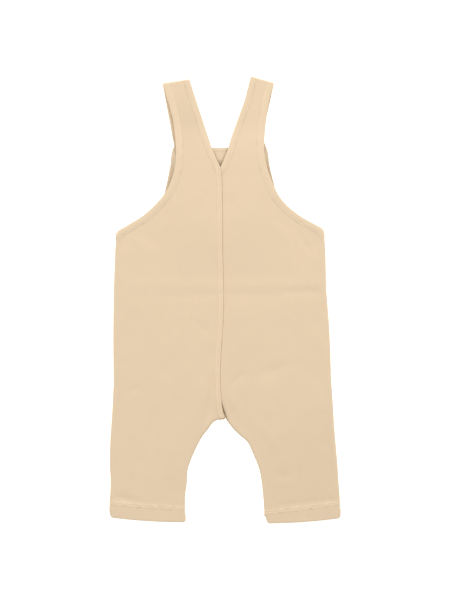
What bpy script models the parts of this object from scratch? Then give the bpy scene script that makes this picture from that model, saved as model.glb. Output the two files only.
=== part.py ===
"""Baby dungarees, lying flat on their front with the back up.

X runs across, Y towards the shoulders and Z up.  The origin is on the surface that the garment
lies on, under the middle of its outline.  Two back panels, each cut in one with its leg and its
strap, lie on a bib and two front legs.  The straps turn over at the shoulders and run back under
themselves to the bib, where a button holds each.
"""

import math
from collections import namedtuple

import bmesh
import bpy
from mathutils import Vector

MM = 0.001                    # the sizes below are in millimetres, and meshes are in metres

# Cloth and the way its layers lie
CLOTH = 1.1                   # wall of every cloth piece
SEAM_GAP = 0.3                # between two pieces that are sewn edge to edge
ROLL = 2.2                    # outer radius of the soft roll where front meets back
ROLL_END_GAP = 0.22           # half of the gap that the seam leaves in the roll
LAYER_PITCH = 1.6             # from one layer's middle to the next where they are stacked
SHELF = 5.0                   # how far a layer stays lifted beyond the strap end under it
FALL_BIB = 14.0               # how far the bib takes to come down beside that shelf
FALL_BACK = 28.0              # the same for the back, which is stiffer with its seams

# Raised bands of folded and stitched cloth
HEM_RAISE = 0.5               # turned hem of a leg
HEM_BOW = 2.0                 # how far a hem bows out below a straight line
FELL_RAISE = 0.6              # felled seam down the middle of the back
EDGE_RAISE = 0.35             # turned edge of armhole, neck and strap
OUTER_BAND = 7.0              # width of the turned edge along armhole and strap
INNER_BAND = 5.4              # width of the felled seam, and of the turned edge at the neck
BAND_STEP = 0.8               # width of the slope from a band down to plain cloth

# Straps and buttons
FOLD_RADIUS = 1.95            # outer radius of the turn at a shoulder
FOLD_STEPS = 6                # steps in that half turn
BUTTON_RADIUS = 8.0
BUTTON_THICK = 2.4
BUTTON_RIM = 1.8              # width of the button's rim
BUTTON_DISH = 0.5             # depth of the dish inside the rim
BUTTON_SIDES = 28
BUTTON_Y = 147.0              # both buttons are at this height
BUTTON_RAMP = 16.0            # length in which the strap climbs on to its button

WAIST_Y = 12.0                # seam between the bib and the front legs
MIDDLE_COLUMNS = 5            # columns of knots between the two edges of a half panel
BIB_COLUMNS = 13              # the same on the bib, which is twice as wide

ROLL_MIDDLE = ROLL - CLOTH / 2
FOLD_MIDDLE = FOLD_RADIUS - CLOTH / 2
FRONT_MIDDLE = CLOTH / 2                  # height of the front's middle surface
BACK_MIDDLE = 2 * ROLL - CLOTH / 2        # height of the back's middle surface
BUTTON_LIFT = BUTTON_THICK + SEAM_GAP     # how far a button lifts the strap on it

# Across a panel's edge: the angle of each knot in the roll, and its reach where the edge is flat
ROLL_ANGLES = (math.asin(ROLL_END_GAP / ROLL_MIDDLE), math.radians(30), math.radians(60),
               math.radians(90))
FLAT_REACHES = (0.0, 0.6, 1.3, ROLL)

UP = Vector((0, 0, 1))

# A section is one line across a panel, from its outer edge (side seam, armhole, strap's outer
# edge) to its inner one (inseam, centre seam, neck).  inner_x is SEAM where the inner edge is on
# the centre seam.  sharp says which edge turns a corner there, and rows is how many rows of
# knots lead from it to the next section.
SEAM = None
Section = namedtuple("Section", "name zone outer_x outer_y inner_x inner_y sharp rows")

LEFT_SECTIONS = (
    Section("hem", "hem", -127.0, -244.9, -44.9, -249.2, "", 1),
    Section("hem middle", "hem", -130.9, -236.5, -43.6, -237.5, "", 1),
    Section("hem top", "hem", -130.0, -222.6, -44.7, -223.4, "", 1),
    Section("above hem", "leg", -129.8, -221.4, -44.6, -222.2, "", 1),
    Section("ankle", "leg", -128.7, -208.0, -42.5, -211.0, "", 1),
    Section("shin", "leg", -129.9, -188.0, -40.2, -190.0, "", 1),
    Section("knee", "leg", -129.8, -163.0, -33.4, -170.5, "", 1),
    Section("thigh", "leg", -128.3, -142.0, -24.4, -153.3, "", 1),
    Section("top of thigh", "leg", -127.2, -124.0, -14.5, -140.2, "", 1),
    Section("under crotch", "leg", -126.7, -114.0, -7.2, -135.2, "", 1),
    Section("crotch", "leg", -126.4, -104.0, SEAM, -133.9, "inner", 1),
    Section("seat", "rise", -126.0, -88.0, SEAM, -112.0, "", 2),
    Section("low hip", "rise", -126.1, -50.0, SEAM, -60.0, "", 2),
    Section("hip", "rise", -125.7, -18.0, SEAM, -20.0, "", 1),
    Section("waist", "rise", -125.1, WAIST_Y, SEAM, WAIST_Y, "", 2),
    Section("chest", "rise", -124.1, 50.0, SEAM, 54.0, "", 1),
    Section("underarm", "rise", -122.9, 74.3, SEAM, 78.0, "outer", 1),
    Section("armhole start", "fade", -118.9, 78.3, SEAM, 83.0, "", 1),
    Section("low armhole", "armhole", -108.4, 84.3, SEAM, 90.0, "", 1),
    Section("armhole", "armhole", -91.6, 95.1, SEAM, 101.0, "", 1),
    Section("high armhole", "armhole", -77.0, 108.4, SEAM, 113.0, "", 1),
    Section("scoop", "armhole", -65.4, 122.8, SEAM, 126.0, "", 1),
    Section("high scoop", "armhole", -58.6, 139.5, SEAM, 138.0, "", 1),
    Section("neck point", "armhole", -56.0, 150.5, SEAM, 149.2, "inner", 2),
    Section("strap root", "strap", -54.8, 168.0, -11.6, 167.0, "", 1),
    Section("low strap", "strap", -55.2, 184.5, -19.1, 185.0, "", 2),
    Section("strap", "strap", -59.3, 205.0, -26.0, 205.0, "", 1),
    Section("high strap", "strap", -64.3, 224.0, -31.8, 225.0, "", 1),
    Section("shoulder", "strap", -69.3, 240.3, -38.0, 245.6, "both", 0),
)
LEFT_UNDER_RUN = (
    Section("under shoulder", "under", -69.3, 240.3, -38.0, 245.6, "both", 3),
    Section("under strap", "under", -60.8, 191.0, -31.6, 192.0, "", 2),
    Section("bib edge", "under", -57.0, 171.0, -28.2, 171.5, "", 1),
    Section("above button", "under", -54.6, 158.0, -25.8, 158.0, "", 2),
    Section("strap end", "under", -49.7, 132.0, -20.9, 132.0, "both", 0),
)

RIGHT_SECTIONS = (
    Section("hem", "hem", 129.4, -244.4, 46.8, -250.2, "", 1),
    Section("hem middle", "hem", 130.5, -234.5, 43.8, -236.5, "", 1),
    Section("hem top", "hem", 128.9, -221.0, 41.8, -224.0, "", 1),
    Section("above hem", "leg", 128.8, -219.8, 41.7, -222.8, "", 1),
    Section("ankle", "leg", 128.2, -206.0, 41.2, -209.0, "", 1),
    Section("shin", "leg", 127.2, -187.0, 38.2, -191.0, "", 1),
    Section("knee", "leg", 125.6, -166.0, 32.3, -174.5, "", 1),
    Section("thigh", "leg", 124.2, -150.0, 25.6, -159.8, "", 1),
    Section("top of thigh", "leg", 123.2, -136.0, 17.4, -152.8, "", 1),
    Section("under crotch", "leg", 122.4, -122.0, 7.2, -142.4, "", 1),
    Section("crotch", "leg", 121.4, -108.0, SEAM, -133.9, "inner", 1),
    Section("seat", "rise", 120.2, -90.0, SEAM, -112.0, "", 2),
    Section("low hip", "rise", 118.4, -50.0, SEAM, -60.0, "", 2),
    Section("hip", "rise", 116.6, -18.0, SEAM, -20.0, "", 1),
    Section("waist", "rise", 114.0, WAIST_Y, SEAM, WAIST_Y, "", 2),
    Section("chest", "rise", 113.1, 50.0, SEAM, 54.0, "", 1),
    Section("underarm", "rise", 112.1, 76.4, SEAM, 78.0, "outer", 1),
    Section("armhole start", "fade", 109.2, 80.1, SEAM, 83.0, "", 1),
    Section("low armhole", "armhole", 101.4, 84.4, SEAM, 90.0, "", 1),
    Section("armhole", "armhole", 86.0, 93.1, SEAM, 101.0, "", 1),
    Section("high armhole", "armhole", 71.0, 104.6, SEAM, 113.0, "", 1),
    Section("scoop", "armhole", 61.0, 116.0, SEAM, 126.0, "", 1),
    Section("high scoop", "armhole", 52.9, 131.8, SEAM, 138.0, "", 1),
    Section("neck point", "armhole", 47.0, 149.2, SEAM, 149.2, "inner", 2),
    Section("strap root", "strap", 44.4, 167.0, 0.8, 167.0, "", 1),
    Section("low strap", "strap", 44.4, 185.0, 7.7, 185.0, "", 2),
    Section("strap", "strap", 46.8, 205.0, 15.4, 205.0, "", 1),
    Section("high strap", "strap", 51.2, 224.5, 22.4, 225.0, "", 1),
    Section("shoulder", "strap", 55.2, 242.0, 29.5, 249.2, "both", 0),
)
RIGHT_UNDER_RUN = (
    Section("under shoulder", "under", 55.2, 242.0, 29.5, 249.2, "both", 3),
    Section("under strap", "under", 44.0, 191.0, 16.4, 192.0, "", 2),
    Section("bib edge", "under", 42.3, 171.0, 14.6, 171.5, "", 1),
    Section("above button", "under", 40.8, 158.0, 13.1, 158.0, "", 2),
    Section("strap end", "under", 37.8, 132.0, 10.0, 132.0, "both", 0),
)

# On the bib outer is the left edge and inner the right one.
BIB_SECTIONS = (
    Section("bib waist", "side", -125.1, WAIST_Y, 114.0, WAIST_Y, "", 2),
    Section("bib chest", "side", -124.1, 50.0, 113.1, 50.0, "", 1),
    Section("bib underarm", "side", -122.9, 74.0, 111.9, 76.3, "both", 1),
    Section("bib armhole start", "side fade", -118.8, 77.0, 108.0, 78.7, "", 1),
    Section("bib low armhole", "open", -108.6, 81.8, 99.2, 81.0, "", 1),
    Section("bib armhole", "open", -91.4, 92.8, 83.2, 89.6, "", 1),
    Section("bib high armhole", "open", -76.8, 106.6, 69.2, 102.4, "", 1),
    Section("bib scoop", "open", -68.4, 118.0, 59.4, 114.0, "", 1),
    Section("bib high scoop", "open", -65.6, 129.0, 55.3, 128.0, "", 3),
    Section("bib side", "open", -61.4, 153.0, 49.8, 153.0, "", 3),
    Section("bib top", "open", -58.6, 170.4, 47.4, 170.9, "both", 0),
)

# The centre seam wanders a little in the laid garment.
SeamPoint = namedtuple("SeamPoint", "y x")
CENTRE_SEAM = (
    SeamPoint(-133.9, 1.0), SeamPoint(-112.0, -3.2), SeamPoint(-85.0, -4.8),
    SeamPoint(-60.0, -3.9), SeamPoint(-20.0, -1.2), SeamPoint(WAIST_Y, -1.0),
    SeamPoint(54.0, -1.6), SeamPoint(101.0, -2.0), SeamPoint(149.2, -3.9),
)

# Roll of each edge (0 flat, 1 rolled to meet the other side) and height of each raised band.
Zone = namedtuple("Zone", "outer_roll inner_roll outer_band middle inner_band")
ZONES = {
    "hem": Zone(1.0, 1.0, HEM_RAISE, HEM_RAISE, HEM_RAISE),
    "leg": Zone(1.0, 1.0, 0.0, 0.0, 0.0),
    "rise": Zone(1.0, 0.0, 0.0, 0.0, FELL_RAISE),
    "fade": Zone(0.6, 0.0, EDGE_RAISE, 0.0, FELL_RAISE),
    "armhole": Zone(0.0, 0.0, EDGE_RAISE, 0.0, FELL_RAISE),
    "strap": Zone(0.0, 0.0, EDGE_RAISE, 0.0, EDGE_RAISE),
    "under": Zone(0.0, 0.0, 0.0, 0.0, 0.0),
    "side": Zone(1.0, 1.0, 0.0, 0.0, 0.0),
    "side fade": Zone(0.6, 0.6, 0.0, 0.0, 0.0),
    "open": Zone(0.0, 0.0, 0.0, 0.0, 0.0),
}

# The largest creases of the back: a soft ridge (depth above 0) or trough along a line.
Crease = namedtuple("Crease", "name start_x start_y end_x end_y depth width")
CREASES = (
    Crease("waist ridge", -118.0, 14.0, 108.0, 9.0, 0.5, 8.0),
    Crease("left crotch drag", -30.0, -66.0, -16.0, -132.0, -0.6, 9.0),
    Crease("right crotch drag", 26.0, -70.0, 12.0, -128.0, -0.5, 9.0),
    Crease("right thigh", 46.0, -90.0, 88.0, -66.0, -0.4, 10.0),
    Crease("right shin", 82.0, -228.0, 80.0, -172.0, -0.6, 9.0),
    Crease("right outseam", 114.0, -214.0, 110.0, -120.0, -0.6, 8.0),
    Crease("left shin", -104.0, -220.0, -98.0, -176.0, -0.5, 10.0),
    Crease("left underarm", -106.0, 70.0, -74.0, 46.0, 0.4, 10.0),
    Crease("right underarm", 96.0, 72.0, 70.0, 44.0, 0.4, 10.0),
)

# A knot of a panel: a point of the wall's middle surface, the way its outside faces, and how
# far the outside is raised there.
Knot = namedtuple("Knot", "point outward raised")

CLOTH_COLOR = (0.799, 0.631, 0.440, 1.0)
BUTTON_COLOR = (0.72, 0.56, 0.38, 1.0)
CLOTH_ROUGHNESS = 0.92
BUTTON_ROUGHNESS = 0.45


def mix(first, second, share):
    """The value, or point, a share of the way from the first to the second."""
    return first * (1 - share) + second * share


def ease(value, start, end):
    """0 before start, 1 after end and a smooth climb between."""
    share = min(max((value - start) / (end - start), 0.0), 1.0)
    return share * share * (3 - 2 * share)


def slope_at(points, index, leaving, sharp):
    """Direction of a curve through points, per unit of length, as it meets one of them."""
    before = points[index] - points[index - 1] if index > 0 else None
    after = points[index + 1] - points[index] if index + 1 < len(points) else None
    if before is None or (sharp and leaving):
        return after / after.length
    if after is None or sharp:
        return before / before.length
    return (before + after) / (before.length + after.length)


def curve_point(points, sharp, index, share):
    """A point a share of the way from points[index] to the next, on a smooth curve."""
    start = points[index]
    end = points[index + 1]
    length = (end - start).length
    leave = slope_at(points, index, True, sharp[index]) * length
    arrive = slope_at(points, index + 1, False, sharp[index + 1]) * length
    square = share * share
    cube = square * share
    return (start * (2 * cube - 3 * square + 1) + leave * (cube - 2 * square + share)
            + end * (3 * square - 2 * cube) + arrive * (cube - square))


def seam_x(y):
    """X of the centre seam at height y."""
    points = [Vector((point.y, point.x)) for point in CENTRE_SEAM]
    sharp = [False] * len(points)
    for index in range(len(points) - 1):
        low, high = points[index].x, points[index + 1].x
        if y <= high or index == len(points) - 2:
            return curve_point(points, sharp, index, (y - low) / (high - low)).y


def inner_point(section, side):
    """Where a section's inner edge is: given, or half a seam gap beside the centre seam."""
    if section.inner_x is SEAM:
        return Vector((seam_x(section.inner_y) + side * SEAM_GAP / 2, section.inner_y))
    return Vector((section.inner_x, section.inner_y))


def edge_rows(sections, side):
    """Outer point, inner point and zone of every row of knots that the sections lead through."""
    outer = [Vector((section.outer_x, section.outer_y)) for section in sections]
    inner = [inner_point(section, side) for section in sections]
    outer_sharp = [section.sharp in ("outer", "both") for section in sections]
    inner_sharp = [section.sharp in ("inner", "both") for section in sections]
    rows = []
    for index, section in enumerate(sections[:-1]):
        for step in range(section.rows):
            share = step / section.rows
            end = curve_point(inner, inner_sharp, index, share)
            on_seam = section.inner_x is SEAM and sections[index + 1].inner_x is SEAM
            if on_seam:
                end.x = seam_x(end.y) + side * SEAM_GAP / 2
            rows.append((curve_point(outer, outer_sharp, index, share), end, section.zone))
    rows.append((outer[-1], inner[-1], sections[-1].zone))
    return rows


def inward(points, index, opposite):
    """Unit vector square to an edge at one of its points, pointing to the opposite edge."""
    before = points[max(index - 1, 0)]
    after = points[min(index + 1, len(points) - 1)]
    here = points[index]
    along = Vector((0, 0))
    for step in (here - before, after - here):
        if step.length > 0:
            along += step.normalized()
    square = Vector((-along.y, along.x)).normalized()
    if square.dot(opposite - here) < 0:
        square.negate()
    return square


def edge_knots(point, square, roll, raised, face, height):
    """The four knots at one end of a row, from the very edge inwards."""
    knots = []
    for angle, flat_reach in zip(ROLL_ANGLES, FLAT_REACHES):
        rolled_reach = ROLL - ROLL_MIDDLE * math.cos(angle)
        place = point + square * mix(flat_reach, rolled_reach, roll)
        rolled_z = ROLL + face * ROLL_MIDDLE * math.sin(angle)
        z = mix(height(place), rolled_z, roll)
        rolled_out = UP * face * math.sin(angle) - square.to_3d() * math.cos(angle)
        outward = mix(UP * face, rolled_out, roll).normalized()
        knots.append(Knot(Vector((place.x, place.y, z)), outward, raised))
    return knots


def bow_hem(knots, outer, inner):
    """Knots of a hem's row, bowed out below the straight line between its two edges."""
    bowed = []
    for knot in knots:
        share = (knot.point.x - outer.x) / (inner.x - outer.x)
        drop = 4 * HEM_BOW * share * (1 - share)
        bowed.append(knot._replace(point=knot.point - Vector((0, drop, 0))))
    return bowed


def panel_row(rows, index, face, height, fell, banded, columns):
    """All knots of one row of a panel, from its outer edge to its inner one."""
    outer, inner, zone_name = rows[index]
    zone = ZONES[zone_name]
    inner_band = fell if zone.inner_band == FELL_RAISE else zone.inner_band
    outer_square = inward([row[0] for row in rows], index, inner)
    inner_square = inward([row[1] for row in rows], index, outer)
    lifts = (zone.outer_band, zone.middle, inner_band) if banded else (0.0, 0.0, 0.0)
    first = edge_knots(outer, outer_square, zone.outer_roll, lifts[0], face, height)
    last = edge_knots(inner, inner_square, zone.inner_roll, lifts[2], face, height)
    starts = [outer + outer_square * ROLL]
    ends = [inner + inner_square * ROLL]
    middle = []
    if banded:
        across = (ends[0] - starts[0]).normalized()
        starts += [starts[0] + across * (OUTER_BAND - ROLL),
                   starts[0] + across * (OUTER_BAND - ROLL + BAND_STEP)]
        ends += [ends[0] - across * (INNER_BAND - ROLL),
                 ends[0] - across * (INNER_BAND - ROLL + BAND_STEP)]
        middle.append((starts[1], lifts[0]))
        middle.append((starts[2], lifts[1]))
    for column in range(1, columns + 1):
        middle.append((mix(starts[-1], ends[-1], column / (columns + 1)), lifts[1]))
    if banded:
        middle.append((ends[2], lifts[1]))
        middle.append((ends[1], lifts[2]))
    flat = [Knot(Vector((place.x, place.y, height(place))), UP * face, raised)
            for place, raised in middle]
    knots = first + flat + last[::-1]
    return bow_hem(knots, outer, inner) if zone_name == "hem" else knots


def strap_lift(y):
    """How far a strap's under run is lifted at height y by the button it lies on."""
    climb = BUTTON_Y + BUTTON_RADIUS + 1.0
    return BUTTON_LIFT * (1 - ease(y, climb, climb + BUTTON_RAMP))


def nearness(place, run, fall):
    """1 over a strap's under run and its shelf, falling to 0 over the given distance."""
    top, tip = run[-2], run[-1]
    share = (top.outer_y - place.y) / (top.outer_y - tip.outer_y)
    edges = sorted((mix(top.outer_x, tip.outer_x, share), mix(top.inner_x, tip.inner_x, share)))
    beside = max(edges[0] - place.x, place.x - edges[1], 0.0)
    below = max(tip.outer_y - place.y, 0.0)
    return 1 - ease(math.hypot(beside, below), SHELF, SHELF + fall)


def crease_height(place):
    """Sum of the creases at a place on the back."""
    total = 0.0
    for crease in CREASES:
        start = Vector((crease.start_x, crease.start_y))
        line = Vector((crease.end_x, crease.end_y)) - start
        share = min(max((place - start).dot(line) / line.length_squared, 0.0), 1.0)
        off = (place - start - line * share).length / crease.width
        total += crease.depth * math.exp(-2 * off * off)
    return total


def front_height(place):
    """Height of the wall's middle on the front legs, which lie flat."""
    return FRONT_MIDDLE


def under_height(place):
    """Height of the wall's middle on a strap's under run."""
    return FRONT_MIDDLE + strap_lift(place.y)


def bib_height(place):
    """Height of the wall's middle on the bib, which rises over the strap ends."""
    rise = strap_lift(place.y) + LAYER_PITCH
    near = sum(nearness(place, run, FALL_BIB) for run in (LEFT_UNDER_RUN, RIGHT_UNDER_RUN))
    return FRONT_MIDDLE + rise * min(near, 1.0)


def back_height(place):
    """Height of the wall's middle on the back, with its creases, over bib and strap ends."""
    stack = FRONT_MIDDLE + strap_lift(place.y) + 2 * LAYER_PITCH
    near = sum(nearness(place, run, FALL_BACK) for run in (LEFT_UNDER_RUN, RIGHT_UNDER_RUN))
    shoulder_drop = BACK_MIDDLE - (FOLD_RADIUS + FOLD_MIDDLE)
    base = BACK_MIDDLE - shoulder_drop * ease(place.y, 185.0, 235.0) + crease_height(place)
    return base + max(stack - BACK_MIDDLE, 0.0) * min(near, 1.0)


def fold_rows(last_row, shoulder):
    """Rows of knots that carry a strap's last row over the shoulder, round a half circle."""
    line = Vector((shoulder.inner_x - shoulder.outer_x, shoulder.inner_y - shoulder.outer_y))
    away = Vector((-line.y, line.x, 0)).normalized()
    if away.y < 0:
        away.negate()
    rows = []
    for step in range(1, FOLD_STEPS):
        angle = math.pi * step / FOLD_STEPS
        outward = away * math.sin(angle) + UP * math.cos(angle)
        fade = max(math.cos(angle), 0.0)
        rows.append([
            Knot(Vector((knot.point.x, knot.point.y, FOLD_RADIUS)) + outward * FOLD_MIDDLE,
                 outward, knot.raised * fade)
            for knot in last_row])
    return rows


def cloth_material():
    """The one cotton of the whole garment."""
    return plain_material("cotton", CLOTH_COLOR, CLOTH_ROUGHNESS)


def plain_material(name, color, roughness):
    """A Principled material with one colour and roughness."""
    material = bpy.data.materials.new(name)
    material.use_nodes = True
    shader = material.node_tree.nodes["Principled BSDF"]
    shader.inputs["Base Color"].default_value = color
    shader.inputs["Roughness"].default_value = roughness
    shader.inputs["Metallic"].default_value = 0.0
    material.diffuse_color = color
    return material


def add_object(name, bm, material, collection):
    """Put a bmesh in the collection as an object with the material."""
    mesh = bpy.data.meshes.new(name)
    bm.to_mesh(mesh)
    bm.free()
    mesh.materials.append(material)
    mesh.shade_smooth()
    mesh.set_sharp_from_angle(angle=math.radians(40))
    made = bpy.data.objects.new(name, mesh)
    collection.objects.link(made)
    return made


def cloth_wall(name, knots, material, collection):
    """A closed cloth wall on rows of knots: a grid on its outside, extruded to its inside."""
    flat = [knot for row in knots for knot in row]
    bm = bmesh.new()
    bmesh.ops.create_grid(bm, x_segments=len(knots[0]) - 1, y_segments=len(knots) - 1, size=1)
    number = bm.verts.layers.int.new("knot")
    for index, vertex in enumerate(bm.verts):
        vertex[number] = index
    extruded = bmesh.ops.extrude_face_region(bm, geom=bm.faces[:])
    inside = {item for item in extruded["geom"] if isinstance(item, bmesh.types.BMVert)}
    for vertex in bm.verts:
        knot = flat[vertex[number]]
        reach = -CLOTH / 2 if vertex in inside else CLOTH / 2 + knot.raised
        vertex.co = (knot.point + knot.outward * reach) * MM
    bmesh.ops.recalc_face_normals(bm, faces=bm.faces[:])
    return add_object(name, bm, material, collection)


def back_panel(name, sections, run, side, fell, material, collection):
    """One half of the back, with its leg and its strap, from the hem to the strap's end."""
    rows = edge_rows(sections, side)
    knots = [panel_row(rows, index, 1, back_height, fell, True, MIDDLE_COLUMNS)
             for index in range(len(rows))]
    knots += fold_rows(knots[-1], sections[-1])
    rows = edge_rows(run, side)
    knots += [panel_row(rows, index, -1, under_height, 0.0, True, MIDDLE_COLUMNS)
              for index in range(len(rows))]
    return cloth_wall(name, knots, material, collection)


def front_leg(name, sections, side, material, collection):
    """One half of the front below the waist seam."""
    names = [section.name for section in sections]
    leg = list(sections[:names.index("waist") + 1])
    below_seam = WAIST_Y - SEAM_GAP / 2
    leg[-1] = leg[-1]._replace(outer_y=below_seam, inner_y=below_seam)
    rows = edge_rows(leg, side)
    knots = [panel_row(rows, index, -1, front_height, 0.0, False, MIDDLE_COLUMNS)
             for index in range(len(rows))]
    return cloth_wall(name, knots, material, collection)


def front_bib(name, material, collection):
    """The bib, in one piece from the waist seam to its top edge."""
    above_seam = WAIST_Y + SEAM_GAP / 2
    first = BIB_SECTIONS[0]._replace(outer_y=above_seam, inner_y=above_seam)
    rows = edge_rows((first,) + BIB_SECTIONS[1:], 0)
    knots = [panel_row(rows, index, -1, bib_height, 0.0, False, BIB_COLUMNS)
             for index in range(len(rows))]
    return cloth_wall(name, knots, material, collection)


def button(name, run, material, collection):
    """A plain dished button under a strap's end, its face down."""
    top, tip = run[-2], run[-1]
    share = (top.outer_y - BUTTON_Y) / (top.outer_y - tip.outer_y)
    centre_x = (mix(top.outer_x, tip.outer_x, share) + mix(top.inner_x, tip.inner_x, share)) / 2
    bm = bmesh.new()
    bmesh.ops.create_cone(bm, cap_ends=True, segments=BUTTON_SIDES, radius1=BUTTON_RADIUS * MM,
                          radius2=BUTTON_RADIUS * MM, depth=BUTTON_THICK * MM)
    face = min(bm.faces, key=lambda item: item.calc_center_median().z)
    bmesh.ops.inset_region(bm, faces=[face], thickness=BUTTON_RIM * MM)
    bmesh.ops.inset_region(bm, faces=[face], thickness=BUTTON_DISH * MM)
    bmesh.ops.translate(bm, verts=face.verts[:], vec=UP * BUTTON_DISH * MM)
    made = add_object(name, bm, material, collection)
    made.location = Vector((centre_x, BUTTON_Y, BUTTON_THICK / 2)) * MM
    return made


def clear_scene():
    """Remove what the new file holds."""
    for item in list(bpy.data.objects):
        bpy.data.objects.remove(item)


def main():
    """Build the garment in a collection of its own."""
    clear_scene()
    collection = bpy.data.collections.new("baby_dungarees")
    bpy.context.scene.collection.children.link(collection)
    cotton = cloth_material()
    horn = plain_material("button", BUTTON_COLOR, BUTTON_ROUGHNESS)
    back_panel("back_left", LEFT_SECTIONS, LEFT_UNDER_RUN, -1, FELL_RAISE, cotton, collection)
    back_panel("back_right", RIGHT_SECTIONS, RIGHT_UNDER_RUN, 1, 0.0, cotton, collection)
    front_bib("front_bib", cotton, collection)
    front_leg("front_leg_left", LEFT_SECTIONS, -1, cotton, collection)
    front_leg("front_leg_right", RIGHT_SECTIONS, 1, cotton, collection)
    button("button_left", LEFT_UNDER_RUN, horn, collection)
    button("button_right", RIGHT_UNDER_RUN, horn, collection)


main()
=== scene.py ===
"""Looks of the baby dungarees: cloth, seams, stitches and buttons, in a plain studio.

The garment lies flat on its front with the back up.  X runs across, Y towards the shoulders and
Z up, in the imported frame.  Sizes are in millimetres until a mesh, a light or the camera is made.
"""

import logging
import math
from collections.abc import Callable
from dataclasses import dataclass, field, fields
from enum import Enum

import bmesh
import bpy
import numpy as np
from mathutils import Matrix, Vector
from mathutils.bvhtree import BVHTree


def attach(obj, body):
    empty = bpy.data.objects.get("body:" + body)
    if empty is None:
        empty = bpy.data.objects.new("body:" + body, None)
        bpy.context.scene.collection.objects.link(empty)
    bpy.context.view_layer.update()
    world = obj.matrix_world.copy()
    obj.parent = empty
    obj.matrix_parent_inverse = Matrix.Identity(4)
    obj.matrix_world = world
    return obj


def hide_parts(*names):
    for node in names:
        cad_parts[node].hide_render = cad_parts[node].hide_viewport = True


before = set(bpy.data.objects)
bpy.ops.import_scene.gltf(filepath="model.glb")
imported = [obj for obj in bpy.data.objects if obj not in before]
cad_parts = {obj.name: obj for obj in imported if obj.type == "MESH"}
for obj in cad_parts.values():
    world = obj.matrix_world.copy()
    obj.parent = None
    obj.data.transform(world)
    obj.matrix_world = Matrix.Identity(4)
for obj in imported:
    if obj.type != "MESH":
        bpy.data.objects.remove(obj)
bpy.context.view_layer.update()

log = logging.getLogger("dungarees")

MM = 0.001

# Cloth
CLOTH = 0.8                   # wall of every piece of cloth
RIM = 0.5                     # radius of the round edge that a fold of cloth has
THINNEST = 0.14               # share of the wall that is left at the very rim
ROLL = 2.2                    # outer radius of the soft roll where front meets back
ROLL_MIDDLE = ROLL - CLOTH / 2
FRONT_MIDDLE = 0.55           # height of the front's middle surface
BACK_MIDDLE = 2 * ROLL - CLOTH / 2
PILLOW = 0.75                 # how much fuller the back is away from its side seams
PILLOW_REACH = 30.0           # the back is at its fullest from here on
CALM_REACH = 9.0              # creases have their whole depth from here on
LAYER_PITCH = 1.6             # from one layer's middle to the next where they are stacked
SHELF = 1.0                   # how far a layer stays lifted beyond the strap end under it
FALL_BIB = 6.5                # how far the bib takes to come down beside that shelf
FALL_BACK = 56.0              # the same for the back, which is stiffer with its seams
CLIMB_BACK = 50.0             # how far the back takes to rise over the strap ends

# Heights up the garment between which something comes or goes
CREASE_END = (222.0, 240.0)   # the back's creases end towards the shoulders
CREASE_SOFTEN = (160.0, 190.0)
BACK_SINK = (185.0, 235.0)    # the straps come down to the height of their turn
PILLOW_END = (60.0, 150.0)    # the back is less full towards the straps
UNDER_RISE = (222.0, 239.0)   # the strap's under run rises to its turn
SLIT_RANGE = (112.0, 134.0)   # how far below the middle the slit starts and is widest
BIB_WAVE_START = (80.0, 110.0)
BIB_SWELLS = ((1.3, 96.0, 140.0), (1.4, 149.5, 160.0))    # how high, from where to where
BIB_BETWEEN = ((-50.0, -22.0), (6.0, 36.0))   # the swell comes and goes across, between straps

# Bands of folded cloth and the stitches that hold them
EDGE_STITCH = 6.5             # from armhole or strap edge to its stitches
EDGE_BAND = 7.5
NECK_STITCH = 5.7             # the same at the neck and the strap's inner edge
NECK_BAND = 6.7
EDGE_RAISE = 0.38
FELL_STITCHES = (2.6,)        # from the centre seam to its row of stitches
FELL_BAND = 6.0
FELL_RAISE = 0.62
LAPPED_BAND = 2.6             # width of the half that the felled seam's lap lies beside
LAPPED_RAISE = -0.3
INNER_FELL_RAISE = 0.3        # the felled seam's inner half, on a front leg and at the waist
WAIST_STITCHES = (1.6, 6.0)
WAIST_BAND = 7.0
OUTSEAM_STITCH = 5.0
HEM_RAISE = 0.3
HEM_BOW = 1.3                 # how far a hem's edge bows out below a straight line
HEM_LINES = (-3.2, 1.3, 3.3)  # from a hem's stitches to just below, the hem's top and above it
HEM_TURN_GAP = 0.92           # from the middle of a hem's outer layer to its inner one
HEM_TURN_STEPS = 8            # steps in the half turn of a hem's edge
HEM_TURN_HIGHLIGHT = 0.3           # how much painted highlight lightens that edge
STITCH_PITCH = 2.9
STITCH_LENGTH = 2.35
STITCH_RISE = 0.06            # how far a stitch's middle lies above the line between its ends
STITCH_HEIGHT = 0.42          # a stitch's height, as a share of its width
STITCH_LONGEST = 1.6          # a stitch that spans a step is left out, at this many lengths
STITCH_SHORTEST = 1e-5        # in metres
THREAD = 0.58                 # thread's width
BIB_THREAD = 0.95             # the same inside the bib's top edge, which the neck shows
BAR_THREAD = THREAD * 0.9
BAR_PITCH = 0.42              # from stitch to stitch in a dense bar

# Straps and buttons
FOLD_RADIUS = 1.95            # outer radius of the turn at a shoulder
FOLD_MIDDLE = FOLD_RADIUS - CLOTH / 2
FOLD_STEPS = 12               # steps in that half turn
BUTTON_RADIUS = 8.0
BUTTON_THICK = 2.4
BUTTON_Y = 147.0
BUTTON_RAMP = 16.0            # length in which the strap climbs on to its button
BUTTON_SHELF = 1.0            # how far beyond the button's edge that climb starts
BUTTON_GAP = 0.3              # between a button and the strap on it
BUTTON_LIFT = BUTTON_THICK + BUTTON_GAP

BUTTONHOLE_REACH = 10.6       # from its middle to either end
BUTTONHOLE_WIDTH = 1.7
BUTTONHOLE_BAR = 1.6          # length of the stitches along its sides
BUTTONHOLE_END = 1.8          # length of the stitches across its ends

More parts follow.
